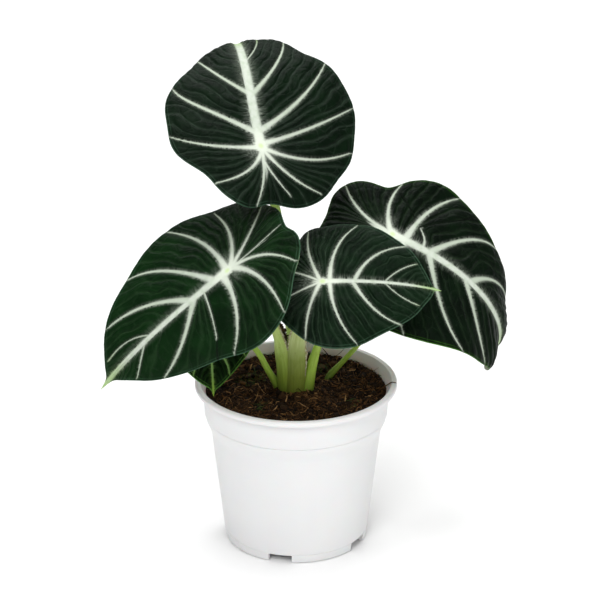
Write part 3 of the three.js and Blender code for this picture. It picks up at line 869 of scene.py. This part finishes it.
def tube(path, widths, depths, sides, dent=None):
    """Rings of points about a path, capped at both ends."""
    tangents = unit(np.gradient(path, axis=0))
    across = unit(np.array([1.0, 0, 0]) - tangents * tangents[:, :1])
    back = np.cross(tangents, across)
    turn = around(sides)
    shape = np.ones((len(path), sides)) if dent is None else dent(path, turn)
    rings = (path[:, None] + across[:, None] * (widths[:, None] * np.cos(turn) * shape)[..., None]
             + back[:, None] * (depths[:, None] * np.sin(turn) * shape)[..., None])
    points = np.concatenate([rings.reshape(-1, 3), path[:1], path[-1:]])
    return points, closed_tube(len(path), sides)


STALK_STEPS = 90


def stalk_path(stalk):
    b = BLADES[stalk["blade"]]
    turn, at = place_of(b)
    up = turn[:, 2]
    rows = [list(p) for p in stalk["points"]]
    for below in (stalk["reach"], BLADE_THICKNESS / 2 + 0.05):
        rows.append([*(at - up * below), stalk["end"], stalk["end"]])
    rows = spline(rows, STALK_STEPS)
    path, widths, depths = rows[:, :3], rows[:, 3], rows[:, 4]
    # The stalk spreads a little where it meets the blade.
    left = np.linalg.norm(path - path[-1], axis=1)
    spread = 1 + 0.35 * np.exp(-((left / 3.0) ** 2))
    return path, widths * spread, depths * spread


def petiole_material():
    n = Nodes("petiole_skin", Subsurface_Weight=0.15, Subsurface_Scale=0.003, Specular_IOR_Level=0.35)
    n.shader.inputs["Subsurface Radius"].default_value = (0.6, 1.0, 0.3)
    run, turn, age, lush, paper = (n.attribute(key) for key in ("run", "turn", "age", "lush", "paper"))
    # The ramps by height darken the stalks towards their foot: painted shade under the leaves and by the
    # soil. Above it, the pale sheath and the green stalk are the stalk's own colour.
    colour = n.ramp(age, (0.0, (0.085, 0.105, 0.010)), (0.10, (0.185, 0.235, 0.030)),
                    (0.2, (0.29, 0.36, 0.075)), (0.32, (0.56, 0.66, 0.25)),
                    (0.6, (0.54, 0.68, 0.23)), (1.0, (0.45, 0.60, 0.16)))
    green = n.ramp(age, (0.0, (0.07, 0.12, 0.006)), (0.12, (0.40, 0.60, 0.07)), (0.3, (0.60, 0.86, 0.14)),
                   (1.0, (0.48, 0.72, 0.11)))
    colour = n.mix(lush, colour, green)
    streak = n.noise(n.vector(n.times(turn, 9.0), n.times(run, 0.05), 0.0), 1.0, 4.0, 0.6)
    lit = n.mix(1.0, colour, (1.35, 1.3, 1.7), "MULTIPLY")
    dim = n.mix(1.0, colour, (0.68, 0.74, 0.45), "MULTIPLY")
    colour = n.mix(n.step(streak, 0.42, 0.75, 0.0, 0.7), colour, lit)
    colour = n.mix(n.step(streak, 0.48, 0.22, 0.0, 0.8), colour, dim)
    blush = n.noise(n.vector(turn, n.times(run, 0.09), 5.0), 1.0, 2.0)
    colour = n.mix(n.step(blush, 0.5, 0.8, 0.0, 0.7), colour, dim)
    spots = n.node("TexVoronoi", {"Scale": 1.0}, feature="F1")
    n.put(spots.inputs["Vector"], n.vector(n.times(turn, 3.0), n.times(run, 0.45), 2.0))
    fleck = n.times(n.fade(spots.outputs["Distance"], 0.05, 0.14), n.step(blush, 0.42, 0.6))
    colour = n.mix(n.times(fleck, 0.75), colour, (0.13, 0.07, 0.02))
    # Papery, part-withered margins of the sheaths.
    scrap = n.noise(n.vector(n.times(turn, 2.0), n.times(run, 0.9), 9.0), 1.0, 3.0, 0.7)
    dry = n.ramp(scrap, (0.3, (0.10, 0.05, 0.02)), (0.45, (0.42, 0.33, 0.19)), (0.6, (0.72, 0.70, 0.52)))
    colour = n.mix(paper, colour, dry)
    rough = n.plus(n.times(streak, 0.2), 0.34)
    height = n.plus(streak, n.times(scrap, paper))
    return n.surface(Base_Color=colour, Roughness=rough, Normal=n.bump(height, 0.5, 0.0005))


petiole_skin = petiole_material()
LUSH = {"petiole_top": 0.3, "petiole_right": 0.85, "petiole_left": 0.35, "petiole_middle": 0.0,
        "petiole_small": 0.9, "petiole_offset": 0.8}
# What the sheathing foot of each stalk adds for the eye: more or other points.
DRESS = {
    "petiole_left": ((-5.2, -1.6, 80, 4.4, 4.4), (-6.2, -2.4, 96, 4.6, 4.4), (-7.3, -4.0, 112, 4.3, 3.7),
                     (-8.5, -5.2, 122, 4.2, 3.3), (-9.9, -6.2, 129, 3.1, 3.0), (-18, -14, 153, 2.6, 2.6)),
}


def dress(piece, run, turn, height, paper, lush):
    add_attribute(piece, "run", run)
    add_attribute(piece, "turn", turn)
    # Height up the plant, read by the petiole ramps: low down it brings painted shade.
    add_attribute(piece, "age", np.clip((height - 94) / 110, 0, 1))
    add_attribute(piece, "paper", paper)
    add_attribute(piece, "lush", np.full(len(run), float(lush)))


paths = {}
for name, stalk in STALKS.items():
    path, widths, depths = stalk_path(dict(stalk, points=DRESS.get(name, stalk["points"])))
    paths[name] = (path, widths, depths)
    sides = 48

    def groove(path, turn):
        # A shallow channel runs up the side that faces the stem.
        shade = np.exp(-(((turn - pi / 2 + pi) % (2 * pi) - pi) / 0.5) ** 2)
        return 1 - 0.1 * shade[None] + 0.010 * np.sin(14 * turn)[None] * np.ones((len(path), 1))

    points, faces = tube(path, widths, depths, sides, groove)
    piece = make_object(name + "_stalk", points, faces, [petiole_skin])
    climb = np.concatenate([np.repeat(path[:, 2], sides), path[[0, -1], 2]])
    length = np.concatenate([[0], np.cumsum(np.linalg.norm(np.diff(path, axis=0), axis=1))])
    run = np.concatenate([np.repeat(length, sides), length[[0, -1]]])
    turn = np.concatenate([np.tile(np.abs(np.linspace(-pi, pi, sides, endpoint=False)), len(path)), [0, 0]])
    dress(piece, run, turn + 10 * len(paths), climb, np.zeros(len(run)), LUSH[name])
    adopt(piece, "petiole", name)


STRIP_STEPS = 40
LOWER_STALK = 60  # rings of a stalk, from its foot, that a strip can lie on


def papery_edge(name, stalk, low, high, bearing, width, flare, seed, skin=petiole_skin):
    """A thin strip along one side of a sheath, between two heights: a dry papery margin, or, with a dark
    skin, painted shade in the gap between two sheaths.
    """
    rng = np.random.default_rng(seed)
    path, widths, depths = paths[stalk]
    z = np.linspace(low, high, STRIP_STEPS)
    climb = np.argsort(path[:LOWER_STALK, 2])

    def at_height(values):
        return np.interp(z, path[climb, 2], values[climb])

    centre = np.stack([at_height(path[:, k]) for k in range(3)], 1)
    half, deep = at_height(widths), at_height(depths)
    out = polar(1, bearing)
    edge = centre + np.stack([half * out[0], deep * out[1], 0 * z], 1) * 0.93
    t = np.linspace(0, 1, STRIP_STEPS)
    swell = np.sin(pi * np.clip(t * 1.02, 0, 1)) ** 0.6
    jag = 1 + 0.35 * np.sin(t * 23 + seed) * np.sin(t * 51) + rng.uniform(-0.15, 0.15, STRIP_STEPS)
    away = np.array([*polar(1, bearing + flare), 0.15])
    outer = edge + away * (width * swell * jag + 0.15)[:, None]
    middle = (edge + outer) / 2 + np.array([0, -0.12, 0])
    thick = unit(np.cross(away, np.array([0, 0, 1.0]))) * 0.12
    rings = np.stack([edge + thick, middle + thick, outer, middle - thick, edge - thick], 1)
    count = rings.shape[1]
    points = rings.reshape(-1, 3)
    last = (STRIP_STEPS - 1) * count
    faces = lattice(STRIP_STEPS, count)
    faces += [tuple(range(count))[::-1], tuple(range(last, last + count))]
    piece = make_object(name, points, faces, [skin])
    paper = np.tile([0.35, 0.8, 1.0, 0.8, 0.35], STRIP_STEPS)
    turn = np.tile(np.arange(count) * 0.2, STRIP_STEPS) + seed
    dress(piece, np.repeat(z, count), turn, points[:, 2], paper, 0)
    adopt(piece, "petiole")


papery_edge("sheath_edge_left", "petiole_left", 121, 141, -35, 1.3, 25, 3)
papery_edge("sheath_edge_middle", "petiole_middle", 121, 146, 215, 1.2, -20, 5)
papery_edge("sheath_edge_right", "petiole_middle", 104, 138, -28, 1.3, 22, 7)


# Near-black to brown skin for the strip in the gap between the left and middle sheaths: painted shade where
# that gap lies in shadow.
def shade_scrap_material():
    n = Nodes("shade_scrap", Specular_IOR_Level=0.2)
    age = n.noise(n.place(), 420.0, 3.0, 0.6)
    colour = n.ramp(age, (0.2, (0.006, 0.003, 0.0015)), (0.5, (0.03, 0.013, 0.005)),
                    (0.85, (0.14, 0.07, 0.03)))
    return n.surface(Base_Color=colour, Roughness=n.line(age, 0.2, 0.7), Normal=n.bump(age, 0.5, 0.0004))


# Painted shade: a dark strip set in the gap between the left and middle sheaths.
papery_edge("shade_scrap", "petiole_left", 123, 142, 25, 2.9, 0, 9, shade_scrap_material())

# --------------------------------------------------------------------- pot

POT_SEGMENTS = 240
FLOOR_TOP, FLOOR_UNDERSIDE = 7.5, 6.0
FLOOR_RADIUS, DRAIN_COUNT, DRAIN_RADIUS, DRAIN_CIRCLE, FIRST_DRAIN = 39.0, 5, 4.5, 28, -66.8
DRAIN_SIDES = 36
NOTCH_COUNT, NOTCH_HALF_ANGLE, NOTCH_HEIGHT, FIRST_NOTCH = 5, degrees(7 / 42.5), 5.0, -102.8


def pot_mesh():
    outside = [
        (40.6, 0.25), (41.0, 0), (42.5, 0), (42.9, 0.25), (43.05, 0.8), (43.45, 4.95), (43.2, 5.1),
        (43.2, 5.35), (43.45, 5.5),
        (50.4, 67.5), (50.65, 69.6), (50.95, 70.9), (51.5, 72.4), (52.6, 74.8), (53.5, 76.9), (53.85, 78.4),
        (53.9, 79.3), (53.65, 79.75), (53.7, 79.95), (54.4, 80.15), (54.55, 80.5), (54.55, 81.0),
        (55.2, 95.0), (55.3, 95.8), (55.5, 96.2), (59.3, 96.75), (59.75, 96.95), (59.95, 97.3),
        (60, 97.8), (60, 98.8), (59.85, 99.3), (59.4, 99.8), (58.8, 100), (57.4, 100), (56.8, 99.8),
        (56.4, 99.2),
        (53.9, 94.7), (53.75, 93.5), (52.9, 79), (52.3, 76.8), (49.6, 70.6), (49.3, 69),
        (42.1, 9.6), (41.6, 8.4), (40.4, 7.6), (FLOOR_RADIUS, FLOOR_TOP),
    ]
    below = [(FLOOR_RADIUS, FLOOR_UNDERSIDE), (40.3, 5.9), (40.45, 5.6)]
    turns = [(360 * k / POT_SEGMENTS) % 360 for k in range(POT_SEGMENTS)]
    notches = [FIRST_NOTCH + 360 / NOTCH_COUNT * i for i in range(NOTCH_COUNT)]
    for middle in notches:
        for edge in (-NOTCH_HALF_ANGLE, NOTCH_HALF_ANGLE):
            turns += [(middle + edge - 0.12) % 360, (middle + edge + 0.12) % 360]
    turns = sorted(set(turns))

    def in_notch(angle):
        return min(abs((angle - middle + 180) % 360 - 180) for middle in notches) < NOTCH_HALF_ANGLE

    loop = outside + below
    points, faces = [], []
    for angle in turns:
        raised = in_notch(angle)
        for r, z in loop:
            if raised and z < NOTCH_HEIGHT:
                z = NOTCH_HEIGHT
            points.append((*polar(r, angle), z))
    m = len(loop)
    count = len(turns)
    for i in range(count):
        j = (i + 1) % count
        for k in range(m):
            if k != len(outside) - 1:
                n = (k + 1) % m
                faces.append((i * m + k, j * m + k, j * m + n, i * m + n))
    return points, faces, turns


def floor_plate(turns):
    """The raised floor between its ring and its drainage holes, as triangles."""
    places = [Vector(polar(FLOOR_RADIUS, angle)) for angle in turns]
    edges = [(k, (k + 1) % len(turns)) for k in range(len(turns))]
    bearings = [FIRST_DRAIN + 360 / DRAIN_COUNT * i for i in range(DRAIN_COUNT)]
    centres = [Vector(polar(DRAIN_CIRCLE, bearing)) for bearing in bearings]
    starts = []
    for centre in centres:
        first = len(places)
        starts.append(first)
        places += [centre + Vector(polar(DRAIN_RADIUS, 360 * k / DRAIN_SIDES)) for k in range(DRAIN_SIDES)]
        edges += [(first + k, first + (k + 1) % DRAIN_SIDES) for k in range(DRAIN_SIDES)]
    out = delaunay_2d_cdt(places, edges, [], 1, 1e-5)
    corners = [(v.x, v.y) for v in out[0]]
    triangles = []
    for face in out[2]:
        middle = sum((out[0][i] for i in face), Vector((0, 0))) / len(face)
        if all((middle - c).length > DRAIN_RADIUS * 0.97 for c in centres):
            triangles.append(tuple(face))
    return corners, triangles, starts


points, faces, turns = pot_mesh()
corners, triangles, starts = floor_plate(turns)
top_first = len(points)
points += [(x, y, FLOOR_TOP) for x, y in corners]
low_first = len(points)
points += [(x, y, FLOOR_UNDERSIDE) for x, y in corners]
faces += [tuple(top_first + i for i in t) for t in triangles]
faces += [tuple(low_first + i for i in t[::-1]) for t in triangles]
for start in starts:
    for k in range(DRAIN_SIDES):
        i, j = start + k, start + (k + 1) % DRAIN_SIDES
        faces.append((low_first + i, low_first + j, top_first + j, top_first + i))


def pot_material():
    n = Nodes("white_plastic", Specular_IOR_Level=0.45, Subsurface_Weight=0.12, Subsurface_Scale=0.003)
    place = n.place()
    cloud = n.noise(place, 14.0, 3.0)
    grain = n.noise(place, 900.0, 3.0, 0.6)
    tall = n.node("VectorMath", {0: place, 1: (60.0, 60.0, 4.0)}, operation="MULTIPLY").outputs[0]
    streaks = n.noise(tall, 1.0, 2.0)
    colour = n.mix(n.step(cloud, 0.3, 0.7), (0.74, 0.74, 0.745), (0.77, 0.77, 0.77))
    rough = n.plus(n.times(grain, 0.12), n.line(streaks, 0.1, 0.34))
    height = n.plus(n.times(grain, 0.35), streaks)
    return n.surface(Base_Color=colour, Roughness=rough, Normal=n.bump(height, 0.12, 0.0003))


pot = make_object("nursery_pot", points, faces, [pot_material()])
weld = bmesh.new()
weld.from_mesh(pot.data)
bmesh.ops.remove_doubles(weld, verts=weld.verts, dist=2e-6)
bmesh.ops.recalc_face_normals(weld, faces=weld.faces)
weld.to_mesh(pot.data)
weld.free()
pot.data.set_sharp_from_angle(angle=radians(32))
adopt(pot, "pot_plastic", "pot")

# -------------------------------------------------------------------- soil


def field(x, y, cell, seed):
    """Smooth seeded noise from -1 to 1 over the plan."""
    grid = np.random.default_rng(seed).uniform(-1, 1, (256, 256))
    u, v = np.asarray(x) / cell + 128, np.asarray(y) / cell + 128
    i, j = np.floor(u).astype(int), np.floor(v).astype(int)
    f, g = u - i, v - j
    f, g = f * f * (3 - 2 * f), g * g * (3 - 2 * g)
    i, j = i % 255, j % 255
    return (grid[i, j] * (1 - f) * (1 - g) + grid[i + 1, j] * f * (1 - g)
            + grid[i, j + 1] * (1 - f) * g + grid[i + 1, j + 1] * f * g)


# Height, spacing and seed of the surface's unevenness, coarse to fine.
LUMPS = ((1.0, 9.0, 21), (1.2, 4.0, 22), (0.8, 2.1, 23), (0.4, 1.0, 24))


def soil_height(x, y):
    r = np.hypot(x, y)
    dome = 93.3 + 1.0 * (1 - (r / 53) ** 2)
    lumps = sum(size * field(x, y, cell, seed) for size, cell, seed in LUMPS)
    return dome + lumps * np.clip((54 - r) / 4, 0.35, 1)


def inner_wall(z):
    heights = (7.5, 8.4, 9.6, 69, 70.6, 76.8, 79, 93.5, 94.7)
    radii = (41.3, 41.6, 42.1, 49.3, 49.6, 52.3, 52.9, 53.75, 53.9)
    return np.interp(z, heights, radii)


def soil_material():
    n = Nodes("potting_mix", Specular_IOR_Level=0.12)
    place = n.place()
    coarse = n.noise(place, 260.0, 4.0, 0.7)
    fine = n.noise(place, 1400.0, 4.0, 0.7)
    # Tone: on the bed it holds painted shade in the hollows; on fibres and crumbs it is their own colour.
    tone = n.attribute("tone")
    shade = n.plus(n.times(tone, 0.62), n.times(n.plus(coarse, fine), 0.19))
    colour = n.ramp(shade, (0.15, (0.003, 0.0016, 0.0006)), (0.36, (0.010, 0.0050, 0.0018)),
                    (0.52, (0.045, 0.021, 0.007)), (0.68, (0.160, 0.075, 0.024)),
                    (0.88, (0.42, 0.25, 0.11)))
    colour = n.mix(n.attribute("moss"), colour, (0.045, 0.085, 0.018))
    rough = n.plus(n.times(coarse, 0.2), 0.72)
    height = n.plus(coarse, n.times(fine, 0.6))
    return n.surface(Base_Color=colour, Roughness=rough, Normal=n.bump(height, 0.8, 0.0006))


soil_skin = soil_material()
MOSS = ((14, 30, 9), (-26, 12, 9), (-22, -28, 5), (6, 44, 6), (33, -22, 4))


def moss_at(x, y):
    total = np.zeros_like(x)
    for cx, cy, spread in MOSS:
        total += np.exp(-(((x - cx) ** 2 + (y - cy) ** 2) / spread**2))
    return np.clip(total, 0, 1)


# Heights of the soil's outer rings, from just under its surface to the floor.
WALL_LEVELS = (90, 78.5, 76.5, 70.3, 40, 10, 7.9)


def soil_bed():
    spokes, rings = 300, 84
    angle = around(spokes)
    radius = 53.6 * (np.arange(1, rings + 1) / rings) ** 0.85
    x, y = np.outer(radius, np.cos(angle)), np.outer(radius, np.sin(angle))
    top = np.stack([x, y, soil_height(x, y)], -1).reshape(-1, 3)
    points = [np.array([[0, 0, float(soil_height(np.array(0.0), np.array(0.0)))]]), top]
    for z in WALL_LEVELS:
        r = inner_wall(z) - 0.25
        points.append(np.stack([r * np.cos(angle), r * np.sin(angle), np.full(spokes, float(z))], 1))
    points.append(np.array([[0, 0, WALL_LEVELS[-1]]]))
    points = np.concatenate(points)
    total = rings + len(WALL_LEVELS)
    last = 1 + (total - 1) * spokes
    faces = fan(0, 1, spokes) + turned(lattice(total, spokes, 1) + fan(len(points) - 1, last, spokes))
    piece = make_object("soil_bed", points, faces, [soil_skin])
    x, y = points[:, 0], points[:, 1]
    # Lower places on the bed get a darker tone: painted shade in the hollows and towards the wall, with
    # random variation on top.
    hollow_shade_and_tone = np.clip((points[:, 2] - 93.4) / 3.2 + 0.25, 0, 0.62) + 0.18 * field(x, y, 0.8, 31)
    add_attribute(piece, "tone", np.clip(hollow_shade_and_tone, 0, 1))
    add_attribute(piece, "moss", 0.7 * moss_at(x, y) * (field(x, y, 1.3, 33) > 0.1))
    adopt(piece, "soil", "soil")


STEMS = ((0.5, -1, 14), (-12, -1.5, 3.5), (20, 14, 4))


def scatter(count, rng, most):
    """Places on the soil, clear of the stems."""
    r = most * np.sqrt(rng.uniform(0, 1, count * 2))
    a = rng.uniform(0, 2 * pi, count * 2)
    x, y = r * np.cos(a), r * np.sin(a)
    clear = np.ones(len(x), bool)
    for cx, cy, spread in STEMS:
        clear &= np.hypot(x - cx, y - cy) > spread * 0.62
    return x[clear][:count], y[clear][:count]


def soil_fibres():
    rng = np.random.default_rng(41)
    count, steps, sides = 5600, 6, 3
    x, y = scatter(count, rng, 52.5)
    count = len(x)
    heading = rng.uniform(0, 2 * pi, count)
    length = rng.gamma(2.4, 2.0, count).clip(1.6, 13)
    curl = rng.normal(0, 0.9, count)
    thick = rng.uniform(0.10, 0.36, count) * np.where(rng.uniform(size=count) < 0.15, 1.7, 1)
    rise = np.abs(rng.normal(0, 0.16, count)) * np.where(rng.uniform(size=count) < 0.12, 3, 1)
    tone = np.clip(rng.normal(0.42, 0.27, count), 0.05, 1)
    t = np.linspace(-0.5, 0.5, steps)
    bearing = heading[:, None] + curl[:, None] * t
    step_x = np.cos(bearing) * (length / steps)[:, None]
    step_y = np.sin(bearing) * (length / steps)[:, None]
    px = x[:, None] + np.cumsum(step_x, 1) - step_x.sum(1, keepdims=True) / 2
    py = y[:, None] + np.cumsum(step_y, 1) - step_y.sum(1, keepdims=True) / 2
    r = np.hypot(px, py)
    pull = np.minimum(1, 53.2 / np.maximum(r, 1e-6))
    px, py = px * pull, py * pull
    base = np.minimum(soil_height(px, py) + 0.2, 97.5)
    arch = (0.25 - t**2) * 4
    pz = base + (rise * length)[:, None] * (t + 0.5) * 0.8 + 0.35 * arch * rng.uniform(0, 1, (count, 1))
    path = np.stack([px, py, pz], -1)
    along = unit(np.gradient(path, axis=1), 1e-9)
    side = unit(np.cross(along, np.array([0, 0, 1.0])), 1e-9)
    up = np.cross(side, along)
    taper = (1 - 0.75 * (2 * np.abs(t)) ** 3)[None, :, None, None] * thick[:, None, None, None]
    turn = around(sides)[None, None, :, None]
    rings = path[:, :, None] + taper * (side[:, :, None] * np.cos(turn) + up[:, :, None] * np.sin(turn))
    points = rings.reshape(-1, 3)
    faces = []
    for f in range(count):
        a = f * steps * sides
        faces += lattice(steps, sides, a)
        faces.append((a + 2, a + 1, a))
        b = a + (steps - 1) * sides
        faces.append((b, b + 1, b + 2))
    # One loose strand lies over the rim.
    lie = spline([(50.5, -3.5, 95.5), (54.2, -4.6, 98.6), (56.6, -5.2, 100.45), (58.0, -5.5, 100.5),
                  (59.3, -5.8, 100.35)], 22)
    strand, strand_faces = tube(lie, np.linspace(0.5, 0.25, 22), np.linspace(0.4, 0.2, 22), 6)
    faces += [tuple(len(points) + i for i in f) for f in strand_faces]
    points = np.concatenate([points, strand])
    piece = make_object("soil_fibres", points, faces, [soil_skin])
    strand_tone = np.full(len(strand), 0.62)
    add_attribute(piece, "tone", np.concatenate([np.repeat(tone, steps * sides), strand_tone]))
    green = 0.8 * (moss_at(x, y) > rng.uniform(0.25, 1.3, count))
    add_attribute(piece, "moss", np.concatenate([np.repeat(green, steps * sides), np.zeros(len(strand))]))
    adopt(piece, "soil")


def soil_crumbs():
    rng = np.random.default_rng(43)
    g = (1 + 5**0.5) / 2
    ico = np.array([(-1, g, 0), (1, g, 0), (-1, -g, 0), (1, -g, 0), (0, -1, g), (0, 1, g), (0, -1, -g),
                    (0, 1, -g), (g, 0, -1), (g, 0, 1), (-g, 0, -1), (-g, 0, 1)]) / np.hypot(1, g)
    tri = [(0, 11, 5), (0, 5, 1), (0, 1, 7), (0, 7, 10), (0, 10, 11), (1, 5, 9), (5, 11, 4), (11, 10, 2),
           (10, 7, 6), (7, 1, 8), (3, 9, 4), (3, 4, 2), (3, 2, 6), (3, 6, 8), (3, 8, 9), (4, 9, 5),
           (2, 4, 11), (6, 2, 10), (8, 6, 7), (9, 8, 1)]
    x, y = scatter(1500, rng, 52.0)
    points, faces, tone = [], [], []
    for i, (cx, cy) in enumerate(zip(x, y)):
        size = rng.gamma(3, 0.22) + 0.2
        stretch = size * rng.uniform(0.6, 1.4, 3) * (1 + 0.35 * rng.normal(size=(12, 1)))
        turn = np.array(Euler(rng.uniform(0, 2 * pi, 3)).to_matrix())
        z = float(soil_height(np.array(cx), np.array(cy))) + 0.1
        points.append((ico * stretch) @ turn.T + (cx, cy, z))
        faces += [tuple(12 * i + v for v in f) for f in tri]
        tone += [float(np.clip(rng.normal(0.33, 0.16), 0.05, 0.9))] * 12
    piece = make_object("soil_crumbs", np.concatenate(points), faces, [soil_skin])
    add_attribute(piece, "tone", tone)
    add_attribute(piece, "moss", np.zeros(len(tone)))
    adopt(piece, "soil")


soil_bed()
soil_fibres()
soil_crumbs()

# ------------------------------------------------------------------ rhizome


def rhizome():
    levels = np.linspace(58, 95, 60)
    sides = 64
    turn = around(sides)
    swell = 8.0 - 2.2 * np.exp(-((levels - 58) / 3.0) ** 2) - 3.0 * np.exp(-((levels - 95.2) / 1.6) ** 2)
    ring_scars = 0.3 * np.cos(levels * 1.7)
    bark = field(8 * np.cos(turn)[None] + levels[:, None] * 0.4, 8 * np.sin(turn)[None] + 90, 3.0, 51)
    r = swell[:, None] + ring_scars[:, None] + 0.35 * bark
    z = np.repeat(levels[:, None], sides, 1)
    points = np.stack([-0.5 + r * np.cos(turn), 0.5 + r * np.sin(turn), z], -1).reshape(-1, 3)
    points = np.concatenate([points, [[-0.5, 0.5, 58]], [[-0.5, 0.5, 95.1]]])
    faces = closed_tube(len(levels), sides)
    n = Nodes("rhizome_bark", Specular_IOR_Level=0.2)
    place = n.place()
    grain = n.noise(place, 500.0, 4.0, 0.7)
    bands = n.node("TexWave", {"Vector": place, "Scale": 60.0, "Distortion": 3.0},
                   bands_direction="Z").outputs["Fac"]
    colour = n.ramp(n.plus(n.times(grain, 0.6), n.times(bands, 0.3)),
                    (0.2, (0.03, 0.018, 0.009)), (0.5, (0.10, 0.06, 0.03)), (0.8, (0.24, 0.17, 0.09)))
    rough = n.plus(n.times(grain, 0.2), 0.65)
    skin = n.surface(Base_Color=colour, Roughness=rough, Normal=n.bump(grain, 0.6, 0.0006))
    piece = make_object("rhizome_stub", points, faces, [skin])
    adopt(piece, "rhizome", "rhizome")


rhizome()

# ------------------------------------------------------- floor

paper_white = Nodes("studio_floor", Roughness=0.9, Specular_IOR_Level=0.1)
floor_material = paper_white.surface(Base_Color=(0.96, 0.96, 0.96))
floor = bpy.data.meshes.new("studio_floor")
floor.from_pydata([(-6, -6, -0.0004), (6, -6, -0.0004), (6, 6, -0.0004), (-6, 6, -0.0004)], [],
                  [(0, 1, 2, 3)])
floor.materials.append(floor_material)
studio_floor = in_scene("studio_floor", floor)
